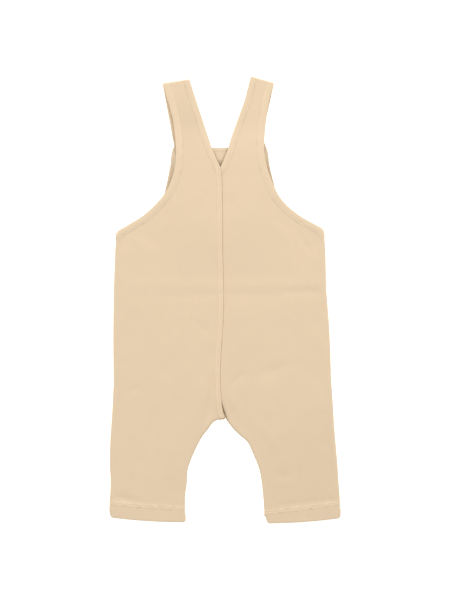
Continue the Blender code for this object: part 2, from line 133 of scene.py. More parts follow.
WAIST_Y = 12.0                # seam between the bib and the front legs
NECK_TACK_Y = 147.4           # a bar of stitches holds the seam under the point of the neck
NECK_TACK = (0.05, 2.0)       # where it starts and ends beside the seam
NECK_TACK_WIDTH = 1.5
SEAM_GAP = 0.14               # between two pieces that are sewn edge to edge
FRONT_SEAM_GAP = 0.02         # the same under the back, where nothing may shine through
SLIT = 1.05                   # how far each panel leaves the centre seam at the crotch

# Rows and columns of points on the cloth
ROW_PITCH = 2.1
FINE_PITCH = 1.1
MIDDLE_COLUMNS = 52           # columns between the two edges of a half panel
BIB_COLUMNS = 92              # the same on the bib, which is twice as wide
WINDOW = 48.0                 # how far off an edge is still measured exactly
NORMAL_FADE = (0.02, 0.3)     # distances in which the way from an edge replaces its normal
TINY = 1e-6
TRACE_STEPS = 24              # steps in each piece of the centre seam's curve
LINE_POINTS = 40              # points on a straight end of the bib
TIP_POINTS = 30               # points on a strap's tip
HEM_POINTS = 60               # points on a hem's row of stitches
NEAR_TRIED = 3.0              # an edge's own zone is searched closely up to here
END_SHARE = 0.62              # most of a row's width that the points at one end take up
END_MOST = 42.0
ROLL_ANGLES = np.radians((7, 17, 30, 45, 60, 75, 90))
FLAT_REACHES = np.array((0.0, 0.06, 0.2, 0.42, 0.8, 1.4, 2.2))
OUTER_REACHES = (3.2, 4.4, 5.3, 6.0, 6.5, 7.0, 7.5, 8.0, 8.9, 10.2)
INNER_REACHES = (2.9, 3.8, 4.5, 5.0, 5.4, 5.8, 6.3, 6.8, 7.6, 9.0)
END_REACHES = (0.0, 0.06, 0.2, 0.42, 0.8)
STRAP_CORNER = (1.8, 9.0)     # radius of a corner, and how far from it rows still move
STRAP_TIP_CORNER = (2.0, 9.0)
HEM_CORNER = (3.0, 12.0)

# Wear and painted shading: above 0 the cloth is lighter, as faded wear and as painted highlight;
# below 0 it is darker, as painted shade and painted shadow
EDGE_HIGHLIGHT = 0.15              # painted highlight at any edge
ROLL_HIGHLIGHT = 0.75              # more painted highlight where the edge is a roll
HIGHLIGHT_REACH = 1.3
INSIDE_PAINTED_SHADOW = 0.65             # painted shadow: the bib's inside is darker along its armholes, under the back's edge
INSIDE_PAINTED_SHADOW_RANGE = (4.0, 9.0)
NECK_PAINTED_SHADOW = 0.4                # and painted shadow right under the edges of the neck
NECK_PAINTED_SHADOW_REACH = 1.5
NECK_LINE = ((-19.9, 185.0), (-13.7, 167.0), (-5.6, 149.8), (1.9, 167.0), (7.4, 185.0))

# Puckers beside stitches, as widths or lengths in the same millimetres
PUCKER_REACH = 2.4
PUCKER_WAVES = ((0.8, 0.83), (1.0, 1.37), (0.9, 2.6))     # strength and length of each
PUCKER_SLANT = 0.7
UNEVEN_LENGTHS = (7.3, 3.1)   # along an edge, its puckers and the painted shade of its crease are stronger and weaker
GROOVE_WIDTH = 0.5
PAINTED_SHADE_WIDTH = 0.55             # width of a sunk row's painted shade, an edge's painted shadow and a crease's painted shade
CREASE_SHADE_OFF = 0.3              # how far beyond its band a crease's painted shade is
BAND_STEP = (-0.35, 0.45)     # where the slope from a band to plain cloth starts and ends

# Other lengths in metres
RAY_START = 0.1               # how far above or below the table the cloth is looked for
SAME_POINT = 1e-6

Value = float | np.ndarray


def mix(first: Value, second: Value, share: Value) -> Value:
    """The value a share of the way from the first to the second."""
    return first * (1 - share) + second * share


def ease(value: Value, start: float, end: float) -> Value:
    """0 before start, 1 after end and a smooth climb between, for numbers or arrays."""
    share = np.clip((value - start) / (end - start), 0.0, 1.0)
    return share * share * (3 - 2 * share)


class Face(Enum):
    """Which way the outside of the cloth looks."""

    UP = 1
    DOWN = -1


class Side(Enum):
    """A half of the garment, as it lies in the picture."""

    LEFT = -1
    RIGHT = 1


class Zone(Enum):
    """How a section's outer and inner edge are rolled: 0 lies flat, 1 meets the other side."""

    LEG = (1.0, 1.0)
    RISE = (1.0, 0.0)
    FADE = (0.6, 0.0)
    SIDE_FADE = (0.6, 0.6)
    OPEN = (0.0, 0.0)


class Corner(Enum):
    """Which edge of a section turns a corner."""

    NONE = 0
    OUTER = 1
    INNER = 2
    BOTH = 3


SEAM = None                   # a section's inner edge is on the centre seam


@dataclass(frozen=True)
class Section:
    """One line across a panel, from its outer edge to its inner one.

    The rows after it lie a pitch apart, sag between their ends by the bow, and are raised.
    """

    name: str
    zone: Zone
    outer: tuple
    inner: tuple
    corner: Corner = Corner.NONE
    pitch: float = ROW_PITCH
    bow: float = 0.0
    raised: float = 0.0


def hem_sections(corners: tuple, bow: float) -> tuple:
    """The four sections of a hem, from its edge to just above its stitches.

    Args:
        corners: outer and inner point of the edge, of the middle and of the stitched line.
        bow: how far the stitched line sags between its ends.

    Returns:
        The sections, in order.
    """
    edge, middle, stitched = corners
    below, top, above = [((stitched[0][0], stitched[0][1] + up),
                          (stitched[1][0], stitched[1][1] + up)) for up in HEM_LINES]
    return (
        Section("hem", Zone.LEG, *edge, pitch=1.2, bow=HEM_BOW, raised=HEM_RAISE),
        Section("hem middle", Zone.LEG, *middle, pitch=1.4, bow=mix(HEM_BOW, bow, 0.5),
                raised=HEM_RAISE),
        Section("under stitches", Zone.LEG, *below, pitch=0.55, bow=bow, raised=HEM_RAISE),
        Section("hem stitch", Zone.LEG, *stitched, pitch=0.5, bow=bow, raised=HEM_RAISE),
        Section("hem top", Zone.LEG, *top, pitch=0.42, bow=bow, raised=HEM_RAISE),
        Section("above hem", Zone.LEG, *above, pitch=1.0, bow=bow),
    )


LEFT_SECTIONS = hem_sections((
    ((-129.4, -243.9), (-44.2, -249.3)), ((-130.4, -236.5), (-44.4, -242.2)),
    ((-130.0, -228.6), (-45.0, -235.3))), 0.4) + (
    Section("ankle", Zone.LEG, (-129.0, -212.0), (-44.7, -219.0), bow=0.3),
    Section("low shin", Zone.LEG, (-128.9, -201.0), (-42.8, -206.0), bow=0.2),
    Section("shin", Zone.LEG, (-129.8, -186.0), (-41.6, -190.0)),
    Section("knee", Zone.LEG, (-129.4, -163.0), (-34.2, -170.5)),
    Section("thigh", Zone.LEG, (-128.1, -142.0), (-25.2, -153.3)),
    Section("inner thigh", Zone.LEG, (-127.5, -132.5), (-19.3, -146.0), pitch=FINE_PITCH),
    Section("top of thigh", Zone.LEG, (-126.9, -124.0), (-13.8, -138.4), pitch=FINE_PITCH),
    Section("under crotch", Zone.LEG, (-126.4, -114.0), (-8.4, -135.2), Corner.NONE, FINE_PITCH),
    Section("crotch", Zone.LEG, (-126.0, -104.0), (SEAM, -134.2), Corner.INNER, FINE_PITCH),
    Section("above crotch", Zone.RISE, (-125.6, -97.0), (SEAM, -126.5)),
    Section("seat", Zone.RISE, (-125.5, -88.0), (SEAM, -112.0)),
    Section("low hip", Zone.RISE, (-125.9, -50.0), (SEAM, -60.0)),
    Section("hip", Zone.RISE, (-125.7, -18.0), (SEAM, -20.0)),
    Section("waist", Zone.RISE, (-125.1, WAIST_Y), (SEAM, WAIST_Y)),
    Section("chest", Zone.RISE, (-123.9, 50.0), (SEAM, 54.0), pitch=1.5),
    Section("underarm", Zone.RISE, (-122.5, 74.3), (SEAM, 78.0), Corner.OUTER, FINE_PITCH),
    Section("armhole start", Zone.FADE, (-118.9, 78.3), (SEAM, 83.0), pitch=1.6),
    Section("low armhole", Zone.OPEN, (-108.4, 84.3), (SEAM, 90.0)),
    Section("armhole", Zone.OPEN, (-91.6, 95.1), (SEAM, 101.0)),
    Section("high armhole", Zone.OPEN, (-77.0, 108.4), (SEAM, 113.0)),
    Section("scoop", Zone.OPEN, (-65.4, 122.8), (SEAM, 126.0)),
    Section("high scoop", Zone.OPEN, (-58.6, 139.5), (SEAM, 138.0), pitch=1.4),
    Section("neck point", Zone.OPEN, (-56.0, 150.5), (SEAM, 148.5), Corner.INNER, 1.4),
    Section("strap root", Zone.OPEN, (-55.3, 168.0), (-13.5, 167.0)),
    Section("low strap", Zone.OPEN, (-56.4, 184.5), (-19.7, 185.0)),
    Section("strap", Zone.OPEN, (-59.3, 205.0), (-26.2, 205.0)),
    Section("high strap", Zone.OPEN, (-64.6, 224.0), (-32.9, 225.0), pitch=1.4),
    Section("shoulder", Zone.OPEN, (-70.2, 241.6), (-39.5, 246.4), Corner.BOTH),
)
LEFT_UNDER_RUN = (
    Section("under shoulder", Zone.OPEN, (-70.2, 241.6), (-39.5, 246.4), Corner.BOTH),
    Section("under strap", Zone.OPEN, (-60.8, 191.0), (-31.6, 192.0)),
    Section("bib edge", Zone.OPEN, (-57.0, 171.0), (-28.2, 171.5)),
    Section("above button", Zone.OPEN, (-54.6, 158.0), (-25.8, 158.0)),
    Section("strap end", Zone.OPEN, (-49.7, 132.0), (-20.9, 132.0), Corner.BOTH),
)
RIGHT_SECTIONS = hem_sections((
    ((130.0, -244.7), (46.8, -250.7)), ((130.2, -237.0), (45.4, -244.6)),
    ((129.2, -228.3), (43.9, -239.4))), 0.6) + (
    Section("ankle", Zone.LEG, (127.8, -206.0), (41.5, -209.0), bow=-0.2),
    Section("shin", Zone.LEG, (126.6, -187.0), (38.4, -191.0)),
    Section("knee", Zone.LEG, (124.8, -166.0), (32.0, -174.5)),
    Section("thigh", Zone.LEG, (123.4, -150.0), (25.0, -159.8)),
    Section("top of thigh", Zone.LEG, (122.4, -136.0), (16.9, -152.8), pitch=FINE_PITCH),
    Section("under crotch", Zone.LEG, (121.6, -122.0), (6.9, -142.6), pitch=FINE_PITCH),
    Section("crotch", Zone.LEG, (120.7, -108.0), (SEAM, -133.9), Corner.INNER, FINE_PITCH),
    Section("seat", Zone.RISE, (119.5, -90.0), (SEAM, -112.0)),
    Section("low hip", Zone.RISE, (118.1, -50.0), (SEAM, -60.0)),
    Section("hip", Zone.RISE, (116.3, -18.0), (SEAM, -20.0)),
    Section("waist", Zone.RISE, (113.8, WAIST_Y), (SEAM, WAIST_Y)),
    Section("chest", Zone.RISE, (113.0, 50.0), (SEAM, 54.0), pitch=1.5),
    Section("underarm", Zone.RISE, (111.3, 76.4), (SEAM, 78.0), Corner.OUTER, FINE_PITCH),
    Section("armhole start", Zone.FADE, (108.9, 80.0), (SEAM, 83.0), pitch=1.6),
    Section("low armhole", Zone.OPEN, (101.6, 84.3), (SEAM, 90.0)),
    Section("armhole", Zone.OPEN, (86.0, 93.1), (SEAM, 101.0)),
    Section("high armhole", Zone.OPEN, (71.0, 104.6), (SEAM, 113.0)),
    Section("scoop", Zone.OPEN, (61.0, 116.0), (SEAM, 126.0)),
    Section("high scoop", Zone.OPEN, (52.9, 131.8), (SEAM, 138.0), pitch=1.4),
    Section("neck point", Zone.OPEN, (47.0, 149.2), (SEAM, 148.5), Corner.INNER, 1.4),
    Section("strap root", Zone.OPEN, (44.0, 167.0), (2.4, 167.0)),
    Section("low strap", Zone.OPEN, (44.5, 185.0), (7.9, 185.0)),
    Section("strap", Zone.OPEN, (46.7, 205.0), (15.2, 205.0)),
    Section("high strap", Zone.OPEN, (49.7, 224.5), (22.1, 225.0), pitch=1.4),
    Section("shoulder", Zone.OPEN, (54.9, 242.1), (28.5, 249.7), Corner.BOTH),
)
RIGHT_UNDER_RUN = (
    Section("under shoulder", Zone.OPEN, (54.9, 242.1), (28.5, 249.7), Corner.BOTH),
    Section("under strap", Zone.OPEN, (44.0, 191.0), (16.4, 192.0)),
    Section("bib edge", Zone.OPEN, (42.3, 171.0), (14.6, 171.5)),
    Section("above button", Zone.OPEN, (40.8, 158.0), (13.1, 158.0)),
    Section("strap end", Zone.OPEN, (37.8, 132.0), (10.0, 132.0), Corner.BOTH),
)
BIB_SECTIONS = (
    Section("bib waist", Zone.LEG, (-125.1, WAIST_Y), (113.8, WAIST_Y)),
    Section("bib chest", Zone.LEG, (-123.9, 50.0), (113.0, 50.0)),
    Section("underarm", Zone.LEG, (-122.5, 74.0), (111.3, 76.1), Corner.BOTH, FINE_PITCH),
    Section("bib armhole start", Zone.SIDE_FADE, (-118.8, 77.0), (107.6, 78.6), pitch=1.6),
    Section("bib low armhole", Zone.OPEN, (-108.6, 81.8), (99.0, 81.0)),
    Section("bib armhole", Zone.OPEN, (-91.4, 92.8), (83.2, 89.6)),
    Section("bib high armhole", Zone.OPEN, (-76.8, 106.6), (69.2, 102.4)),
    Section("bib scoop", Zone.OPEN, (-69.2, 118.0), (59.8, 114.6)),
    Section("bib high scoop", Zone.OPEN, (-66.2, 129.0), (55.7, 128.0), pitch=1.4),
    Section("bib side", Zone.OPEN, (-61.4, 153.0), (49.8, 153.0), bow=1.0, pitch=1.1),
    Section("bib shoulder", Zone.OPEN, (-60.0, 165.6), (48.1, 166.5), bow=3.6, pitch=0.6),
    Section("bib top", Zone.OPEN, (-56.3, 175.2), (44.0, 177.2), Corner.BOTH, bow=5.5),
)

# The centre seam wanders a little in the laid garment: height, then place across.
CENTRE_SEAM = ((-133.9, 0.7), (-121.0, -2.7), (-112.0, -4.1), (-99.0, -5.0), (-85.0, -5.5),
               (-60.0, -4.4), (-20.0, -1.9), (WAIST_Y, -1.6), (54.0, -2.6), (101.0, -2.8),
               (140.0, -3.8), (148.5, -5.3))


class SmoothLine:
    """A smooth curve through points, with corners where they are wanted."""

    def __init__(self, points: list, corners: tuple = ()) -> None:
        """Keep the points, and the indexes of those that are corners."""
        self.points = np.array(points, float)
        self.corners = set(corners)

    def slope(self, index: int, leaving: bool) -> np.ndarray:
        """Direction of the curve at a point, per unit of length.

        Args:
            index: which point.
            leaving: whether the piece after the point is asked for, at a corner.

        Returns:
            The direction.
        """
        points, last = self.points, len(self.points) - 1
        before = points[index] - points[index - 1] if index > 0 else None
        after = points[index + 1] - points[index] if index < last else None
        if before is None or (leaving and index in self.corners):
            return after / np.linalg.norm(after)
        if after is None or index in self.corners:
            return before / np.linalg.norm(before)
        return (before + after) / (np.linalg.norm(before) + np.linalg.norm(after))

    def at(self, index: int, share: float) -> np.ndarray:
        """The curve's place between one point and the next.

        Args:
            index: the point before.
            share: how far on to the next one.

        Returns:
            The place.
        """
        start, end = self.points[index], self.points[index + 1]
        length = np.linalg.norm(end - start)
        square, cube = share ** 2, share ** 3
        return (start * (2 * cube - 3 * square + 1) + end * (3 * square - 2 * cube)
                + self.slope(index, True) * length * (cube - 2 * square + share)
                + self.slope(index + 1, False) * length * (cube - square))


class CentreSeam:
    """The seam down the middle of the back, which opens into a slit at the crotch."""

    def __init__(self) -> None:
        """Trace the seam closely once."""
        line = SmoothLine(CENTRE_SEAM)
        traced = [line.at(index, share) for index in range(len(CENTRE_SEAM) - 1)
                  for share in np.linspace(0, 1, TRACE_STEPS)]
        self.heights, self.places = np.array(traced).T

    def x(self, y: float) -> float:
        """Place of the seam across, at a height."""
        return float(np.interp(y, self.heights, self.places))

    def edge_x(self, y: float, side: Side, face: Face) -> float:
        """Place of one panel's edge at the seam, which only the back leaves for the slit.

        Args:
            y: the height.
            side: the panel's half of the garment.
            face: which way the panel's outside looks.

        Returns:
            The place across.
        """
        if face is Face.DOWN:
            return self.x(y) + side.value * FRONT_SEAM_GAP / 2
        slit = SLIT * float(ease(-y, *SLIT_RANGE))
        return self.x(y) + side.value * (SEAM_GAP / 2 + slit)


CENTRE = CentreSeam()


@dataclass
class Near:
    """What the nearest point of an edge tells about each of several places."""

    distance: np.ndarray
    away: np.ndarray
    roll: np.ndarray
    along: np.ndarray
    full: np.ndarray | None = None
    calm: np.ndarray | None = None


class Edge:
    """One edge of a panel in plan, from the hem upwards."""

    def __init__(self, points: np.ndarray, roll: np.ndarray, inside: int) -> None:
        """Keep the edge.

        Args:
            points: its points.
            roll: how far it is rolled at each of them.
            inside: 1 where the cloth is to the right of the way along it, otherwise -1.
        """
        self.points = points
        self.roll = roll
        self.inside = inside
        self.step = np.diff(points, axis=0)
        self.length = np.maximum(np.hypot(*self.step.T), TINY)
        self.start = np.concatenate(([0.0], np.cumsum(self.length)))
        self.normal = inside * np.stack((self.step[:, 1], -self.step[:, 0]), 1)
        self.normal /= self.length[:, None]

    def near(self, places: np.ndarray, held: bool = False) -> Near:
        """Measure places against the edge.

        Args:
            places: places in plan.
            held: whether to find how far the rolled parts of the edge hold the cloth down.

        Returns:
            The measures.
        """
        low, high = places[:, 1].min() - WINDOW, places[:, 1].max() + WINDOW
        window = np.flatnonzero((self.points[1:, 1] > low) & (self.points[:-1, 1] < high)
                                | (self.points[1:, 1] < high) & (self.points[:-1, 1] > low))
        window = window if len(window) else np.arange(len(self.step))
        step, length = self.step[window], self.length[window]
        offset = places[:, None] - self.points[window]
        share = np.clip((offset * step).sum(2) / length ** 2, 0, 1)
        away = offset - step * share[..., None]
        reach = np.hypot(away[..., 0], away[..., 1])
        best = reach.argmin(1)
        rows = np.arange(len(places))
        distance, share = reach[rows, best], share[rows, best]
        away, best = away[rows, best], window[best]
        square = self.normal[best]
        pointed = away / np.maximum(distance, TINY)[:, None]
        weight = ease(distance, *NORMAL_FADE)[:, None]
        holds = [mix(1, ease(reach, ROLL, end), self.roll[window]).min(1)
                 for end in (PILLOW_REACH, CALM_REACH)] if held else []
        return Near(distance, mix(square, pointed, weight),
                    mix(self.roll[best], self.roll[best + 1], share),
                    self.start[best] + share * self.length[best], *holds)

    def part(self, first: int, last: int | None = None) -> "Edge":
        """The edge between two of its points."""
        return Edge(self.points[first:last], self.roll[first:last], self.inside)

    def offset(self, distance: float, lead: float = 0.0) -> np.ndarray:
        """A line along the edge at a distance inside it.

        Args:
            distance: how far inside.
            lead: how far the line goes on before its start.

        Returns:
            The line's points.
        """
        normal = np.vstack((self.normal, self.normal[-1:]))
        normal[1:-1] = (self.normal[1:] + self.normal[:-1]) / 2
        normal /= np.hypot(*normal.T)[:, None]
        line = self.points + normal * distance
        line = line[self.near(line).distance > distance - 0.05]
        if lead:
            line = np.vstack((line[0] - lead * unit(line[2] - line[0]), line))
        return line


def unit(vector: np.ndarray) -> np.ndarray:
    """The vector at length 1."""
    return vector / np.linalg.norm(vector)


@dataclass
class Sewing:
    """Rows of stitches along an edge, and what they and the folded cloth do to the surface.

    The band between the edge and the last row is raised, plump in its middle and faded. Painted
    shade darkens the cloth just beyond it where a crease is, painted shadow the edge, and painted
    shade a sunk row of stitches itself.
    """

    edge: Edge
    lines: tuple
    band: float
    raised: float
    pucker: float = 0.1
    groove: float = 0.26
    thread: float = THREAD
    lead: float = 0.0
    crease: float = 0.25
    shadow: float = 0.0
    plump: float = 0.16
    sunk: float = 0.0
    faded: float = 0.35

    def relief(self, near: Near) -> tuple:
        """Height of the puckers beside the stitches, and of the band's outside.

        Args:
            near: the places, measured against the edge.

        Returns:
            How far the cloth is lifted, how much thicker its outside is, and its wear and painted
            shading.
        """
        distance, along = near.distance, near.along
        slow, quick = UNEVEN_LENGTHS
        uneven = 0.75 + 0.45 * np.sin(along / slow) * np.sin(along / quick + 1)
        lift = np.zeros(len(distance))
        step = [self.band + off for off in BAND_STEP]
        thicker = self.raised * (1 - ease(distance, *step))
        wear = self.faded * (self.raised > 0) * (distance < self.band)
        # painted shade where a crease lies just beyond the band
        beyond = (distance - self.band - CREASE_SHADE_OFF) / PAINTED_SHADE_WIDTH
        wear = wear - self.crease * uneven ** 2 * np.exp(-beyond ** 2)
        for line in self.lines:
            beside = distance - line
            slanted = along + PUCKER_SLANT * beside
            wave = sum(strength * np.sin(slanted / length + phase)
                       for (strength, length), phase in zip(PUCKER_WAVES, (line, 2, 1)))
            lift += self.pucker * uneven * wave * np.exp(-(beside / PUCKER_REACH) ** 2) / 1.4
            thicker -= self.groove * np.exp(-(beside / GROOVE_WIDTH) ** 2)
            # painted shade along the sunk row of stitches
            wear = wear - self.sunk * np.exp(-(beside / PAINTED_SHADE_WIDTH) ** 2)
        middle = np.sin(np.pi * np.clip(distance / (self.band - 0.9), 0, 1))
        # painted shadow at the edge
        wear = wear - self.shadow * np.exp(-(distance / PAINTED_SHADE_WIDTH) ** 2)
        return lift, thicker + self.plump * middle * (self.raised > 0), wear


@dataclass(frozen=True)
class Crease:
    """A soft ridge (depth above 0) or trough along a line."""

    path: tuple
    depth: float
    width: float

    def height(self, places: np.ndarray) -> np.ndarray:
        """Height that the crease adds, with a little less on both sides of it.

        Args:
            places: places in plan.

        Returns:
            The height at each place.
        """
        points = np.array(self.path, float)
        edge = Edge(points, np.zeros(len(points)), 1)
        near = edge.near(places)
        share = near.along / edge.start[-1]
        taper = np.sin(np.pi * np.clip(0.1 + 0.8 * share, 0, 1)) ** 0.7
        off = (near.distance / self.width) ** 2
        return self.depth * taper * (np.exp(-2 * off) - 0.22 * np.exp(-0.6 * off))


BACK_CREASES = (
    Crease(((-122, 18), (-60, 17), (-5, 16), (50, 17), (113, 18)), 0.3, 9.0),
    Crease(((-123, -1), (-70, 3), (-10, 5), (60, 5), (113, 7)), -0.25, 8.0),
    Crease(((66, 8), (92, 10), (110, 8)), -0.4, 6.0),
    Crease(((-52, 228), (-46, 217), (-41, 207)), -0.5, 6.0),
    Crease(((-57, 196), (-47, 192), (-38, 196)), -0.4, 6.0),
    Crease(((20, 227), (32, 231), (44, 229)), -0.5, 5.0),
    Crease(((17, 186), (28, 189), (42, 187)), -0.4, 5.5),
    Crease(((82, 77), (88, 64), (95, 53)), -0.5, 4.5),
    Crease(((98, 76), (101, 66), (101, 58)), -0.4, 3.5),
    Crease(((52, 84), (60, 80), (70, 70)), 0.3, 7.0),
    Crease(((-106, 70), (-90, 60), (-74, 46)), 0.35, 9.0),
    Crease(((-38, -22), (-28, -30), (-20, -38)), -0.35, 5.0),
    Crease(((-112, -108), (-104, -101), (-96, -99)), -0.4, 6.0),
    Crease(((-78, -128), (-83, -148), (-86, -166)), -0.4, 7.0),
    Crease(((-93, -180), (-94, -198), (-95, -214)), -0.3, 4.0),
    Crease(((-104, -220), (-100, -190), (-98, -172)), -0.35, 9.0),
    Crease(((-12, -84), (-15, -106), (-19, -136)), -0.95, 5.0),
    Crease(((-26, -92), (-26, -112), (-32, -136)), 0.4, 8.0),
    Crease(((5, -97), (12, -90), (20, -83)), -0.5, 5.0),
    Crease(((5, -108), (9, -114), (12, -122)), 0.5, 4.5),
    Crease(((14, -102), (22, -120), (24, -140)), -0.35, 6.0),
    Crease(((38, -90), (54, -79), (78, -72)), -0.5, 10.0),
    Crease(((52, -112), (62, -124), (66, -142)), -0.45, 7.0),
    Crease(((40, -140), (48, -150), (56, -166)), 0.4, 7.0),
    Crease(((58, -196), (68, -200), (76, -192)), -0.45, 6.0),
    Crease(((83, -190), (83.5, -206), (83, -224)), -0.6, 3.6),
    Crease(((83.5, -222), (83.2, -234), (82.5, -248)), -0.35, 2.6),
    Crease(((62, -168), (64, -182), (60, -190)), 0.4, 6.0),
    Crease(((106, -52), (108, -78), (108, -108)), -0.6, 5.5),
    Crease(((112, -128), (114, -170), (115, -222)), -0.7, 5.0),
    Crease(((96, -150), (98, -180), (97, -214)), 0.35, 7.0),
    Crease(((-124, -221.0), (-112, -223.3), (-98, -226.3)), -0.65, 6.2),
    Crease(((104, -225.8), (113, -225.2), (125, -224.4)), -0.45, 5.4),
    Crease(((62, -230), (84, -228), (102, -226)), -0.42, 5.0),
)


@dataclass(frozen=True)
class PaintedShade:
    """A broad patch of painted shade, where the cloth's colour is made a little darker."""

    centre: tuple
    reach: float
    depth: float

    def darkness(self, places: np.ndarray) -> np.ndarray:
        """How much darker the cloth is at each place."""
        off = np.hypot(*(places - self.centre).T) / self.reach
        return self.depth * np.exp(-off ** 2)


# painted shade over the left strap, the right strap, the right leg's outer side and the right shin
BACK_PAINTED_SHADES = (
    PaintedShade((-48.0, 198.0), 30.0, 0.17),
    PaintedShade((36.0, 222.0), 36.0, 0.03),
    PaintedShade((114.0, -180.0), 58.0, 0.08),
    PaintedShade((60.0, -206.0), 34.0, 0.03),
)
# painted shadow on the bib's inside at the point of the neck
NECK_TIP_PAINTED_SHADOW = PaintedShade((-5.8, 150.8), 4.2, 0.25)


@dataclass(frozen=True)
class Undulation:
    """The slow, uneven waves of a laid cloth, as a sum of a few plane waves."""

    size: float
    longest: float
    count: int = 13
    turn: float = 2.39996
    shortened: float = 0.87
    weakened: float = 0.9

    def height(self, places: np.ndarray) -> np.ndarray:
        """Height of the waves, each of which is turned, shorter and weaker than the one before.

        Args:
            places: places in plan.

        Returns:
            The height at each place.
        """
        total = np.zeros(len(places))
        for index in range(self.count):
            angle = index * self.turn + 0.4
            length = self.longest * self.shortened ** index
            phase = 1.7 * index ** 1.5 + 0.6
            along = places @ np.array((math.cos(angle), math.sin(angle)))
            total += self.weakened ** index * np.sin(2 * math.pi * along / length + phase)
        return self.size * total / math.sqrt(self.count / 2)


BACK_WAVES = Undulation(0.16, 128.0)
BIB_WAVES = Undulation(0.1, 70.0, 8, 1.7)


def strap_lift(y: Value, ramp: float = BUTTON_RAMP) -> Value:
    """How far a layer over a button is lifted at height y, and how slowly it comes down."""
    climb = BUTTON_Y + BUTTON_RADIUS + BUTTON_SHELF
    return BUTTON_LIFT * (1 - ease(y, climb, climb + ramp))


def strap_edges(under_run: tuple, y: Value) -> tuple:
    """Places across of the two edges of a strap's end.

    Args:
        under_run: the sections of the strap's under run.
        y: the height, or heights.

    Returns:
        The outer and the inner edge's place.
    """
    top, tip = under_run[-2], under_run[-1]
    share = (top.outer[1] - y) / (top.outer[1] - tip.outer[1])
    return mix(top.outer[0], tip.outer[0], share), mix(top.inner[0], tip.inner[0], share)


def strap_middle(under_run: tuple, y: float) -> float:
    """Place across of the middle of a strap's end, at a height."""
    return sum(strap_edges(under_run, y)) / 2


def nearness(places: np.ndarray, fall: float) -> np.ndarray:
    """1 over the straps' under runs and their shelf, falling to 0 over a distance.

    Args:
        places: places in plan.
        fall: the distance.

    Returns:
        The share at each place.
    """
    total = np.zeros(len(places))
    for run in (LEFT_UNDER_RUN, RIGHT_UNDER_RUN):
        edges = strap_edges(run, places[:, 1])
        low, high = np.minimum(*edges), np.maximum(*edges)
        beside = np.maximum(np.maximum(low - places[:, 0], places[:, 0] - high), 0)
        below = np.maximum(run[-1].outer[1] - places[:, 1], 0)
        total += (1 - ease(np.hypot(beside, below * 0.5), SHELF, SHELF + fall)) * (1 - total)
    return total


# The four below give the height of the middle of a wall of cloth.  places are places in plan,
# full is 0 at a rolled edge and 1 where the cloth is at its fullest, and calm is 0 there and 1
# where creases have their whole depth.

def back_height(places: np.ndarray, full: np.ndarray, calm: np.ndarray) -> np.ndarray:
    """Height of the back, over the bib and the strap ends.

    Args:
        places: places in plan.
        full: how full the cloth is at each place.
        calm: how much of the creases' depth is there.

    Returns:
        The heights.
    """
    y = places[:, 1]
    stack = FRONT_MIDDLE + strap_lift(y, CLIMB_BACK) + 2 * LAYER_PITCH
    drop = BACK_MIDDLE - (FOLD_RADIUS + FOLD_MIDDLE)
    relief = sum(crease.height(places) for crease in BACK_CREASES)
    relief += BACK_WAVES.height(places)
    flat = (1 - ease(y, *CREASE_END)) * (1 - 0.6 * ease(y, *CREASE_SOFTEN))
    base = (BACK_MIDDLE - drop * ease(y, *BACK_SINK) + relief * calm * flat
            + PILLOW * full * (1 - ease(y, *PILLOW_END)))
    return base + np.maximum(stack - BACK_MIDDLE, 0) * nearness(places, FALL_BACK)


def under_height(places: np.ndarray, full: np.ndarray, calm: np.ndarray) -> np.ndarray:
    """Height of a strap's under run, which lies on the table and over its button."""
    y = places[:, 1]
    return mix(FRONT_MIDDLE, FOLD_RADIUS - FOLD_MIDDLE, ease(y, *UNDER_RISE)) + strap_lift(y)


def bib_height(places: np.ndarray, full: np.ndarray, calm: np.ndarray) -> np.ndarray:
    """Height of the bib, which rises over the strap ends and swells between them.

    Args:
        places: places in plan.
        full: how full the cloth is at each place.
        calm: not used here.

    Returns:
        The heights.
    """
    x, y = places.T
    rise = (strap_lift(y) + LAYER_PITCH) * nearness(places, FALL_BIB)
    waves = np.maximum(BIB_WAVES.height(places) + 0.1, 0) * ease(y, *BIB_WAVE_START)
    comes, goes = BIB_BETWEEN
    between = ease(x, *comes) * (1 - ease(x, *goes))
    swell = sum(high * ease(y, start, end) for high, start, end in BIB_SWELLS)
    rise = np.maximum(rise, swell * between)
    return mix(ROLL - ROLL_MIDDLE, FRONT_MIDDLE, full) + rise + waves


def leg_front_height(places: np.ndarray, full: np.ndarray, calm: np.ndarray) -> np.ndarray:
    """Height of a front leg, which lies flat."""
    return mix(ROLL - ROLL_MIDDLE, FRONT_MIDDLE, full)


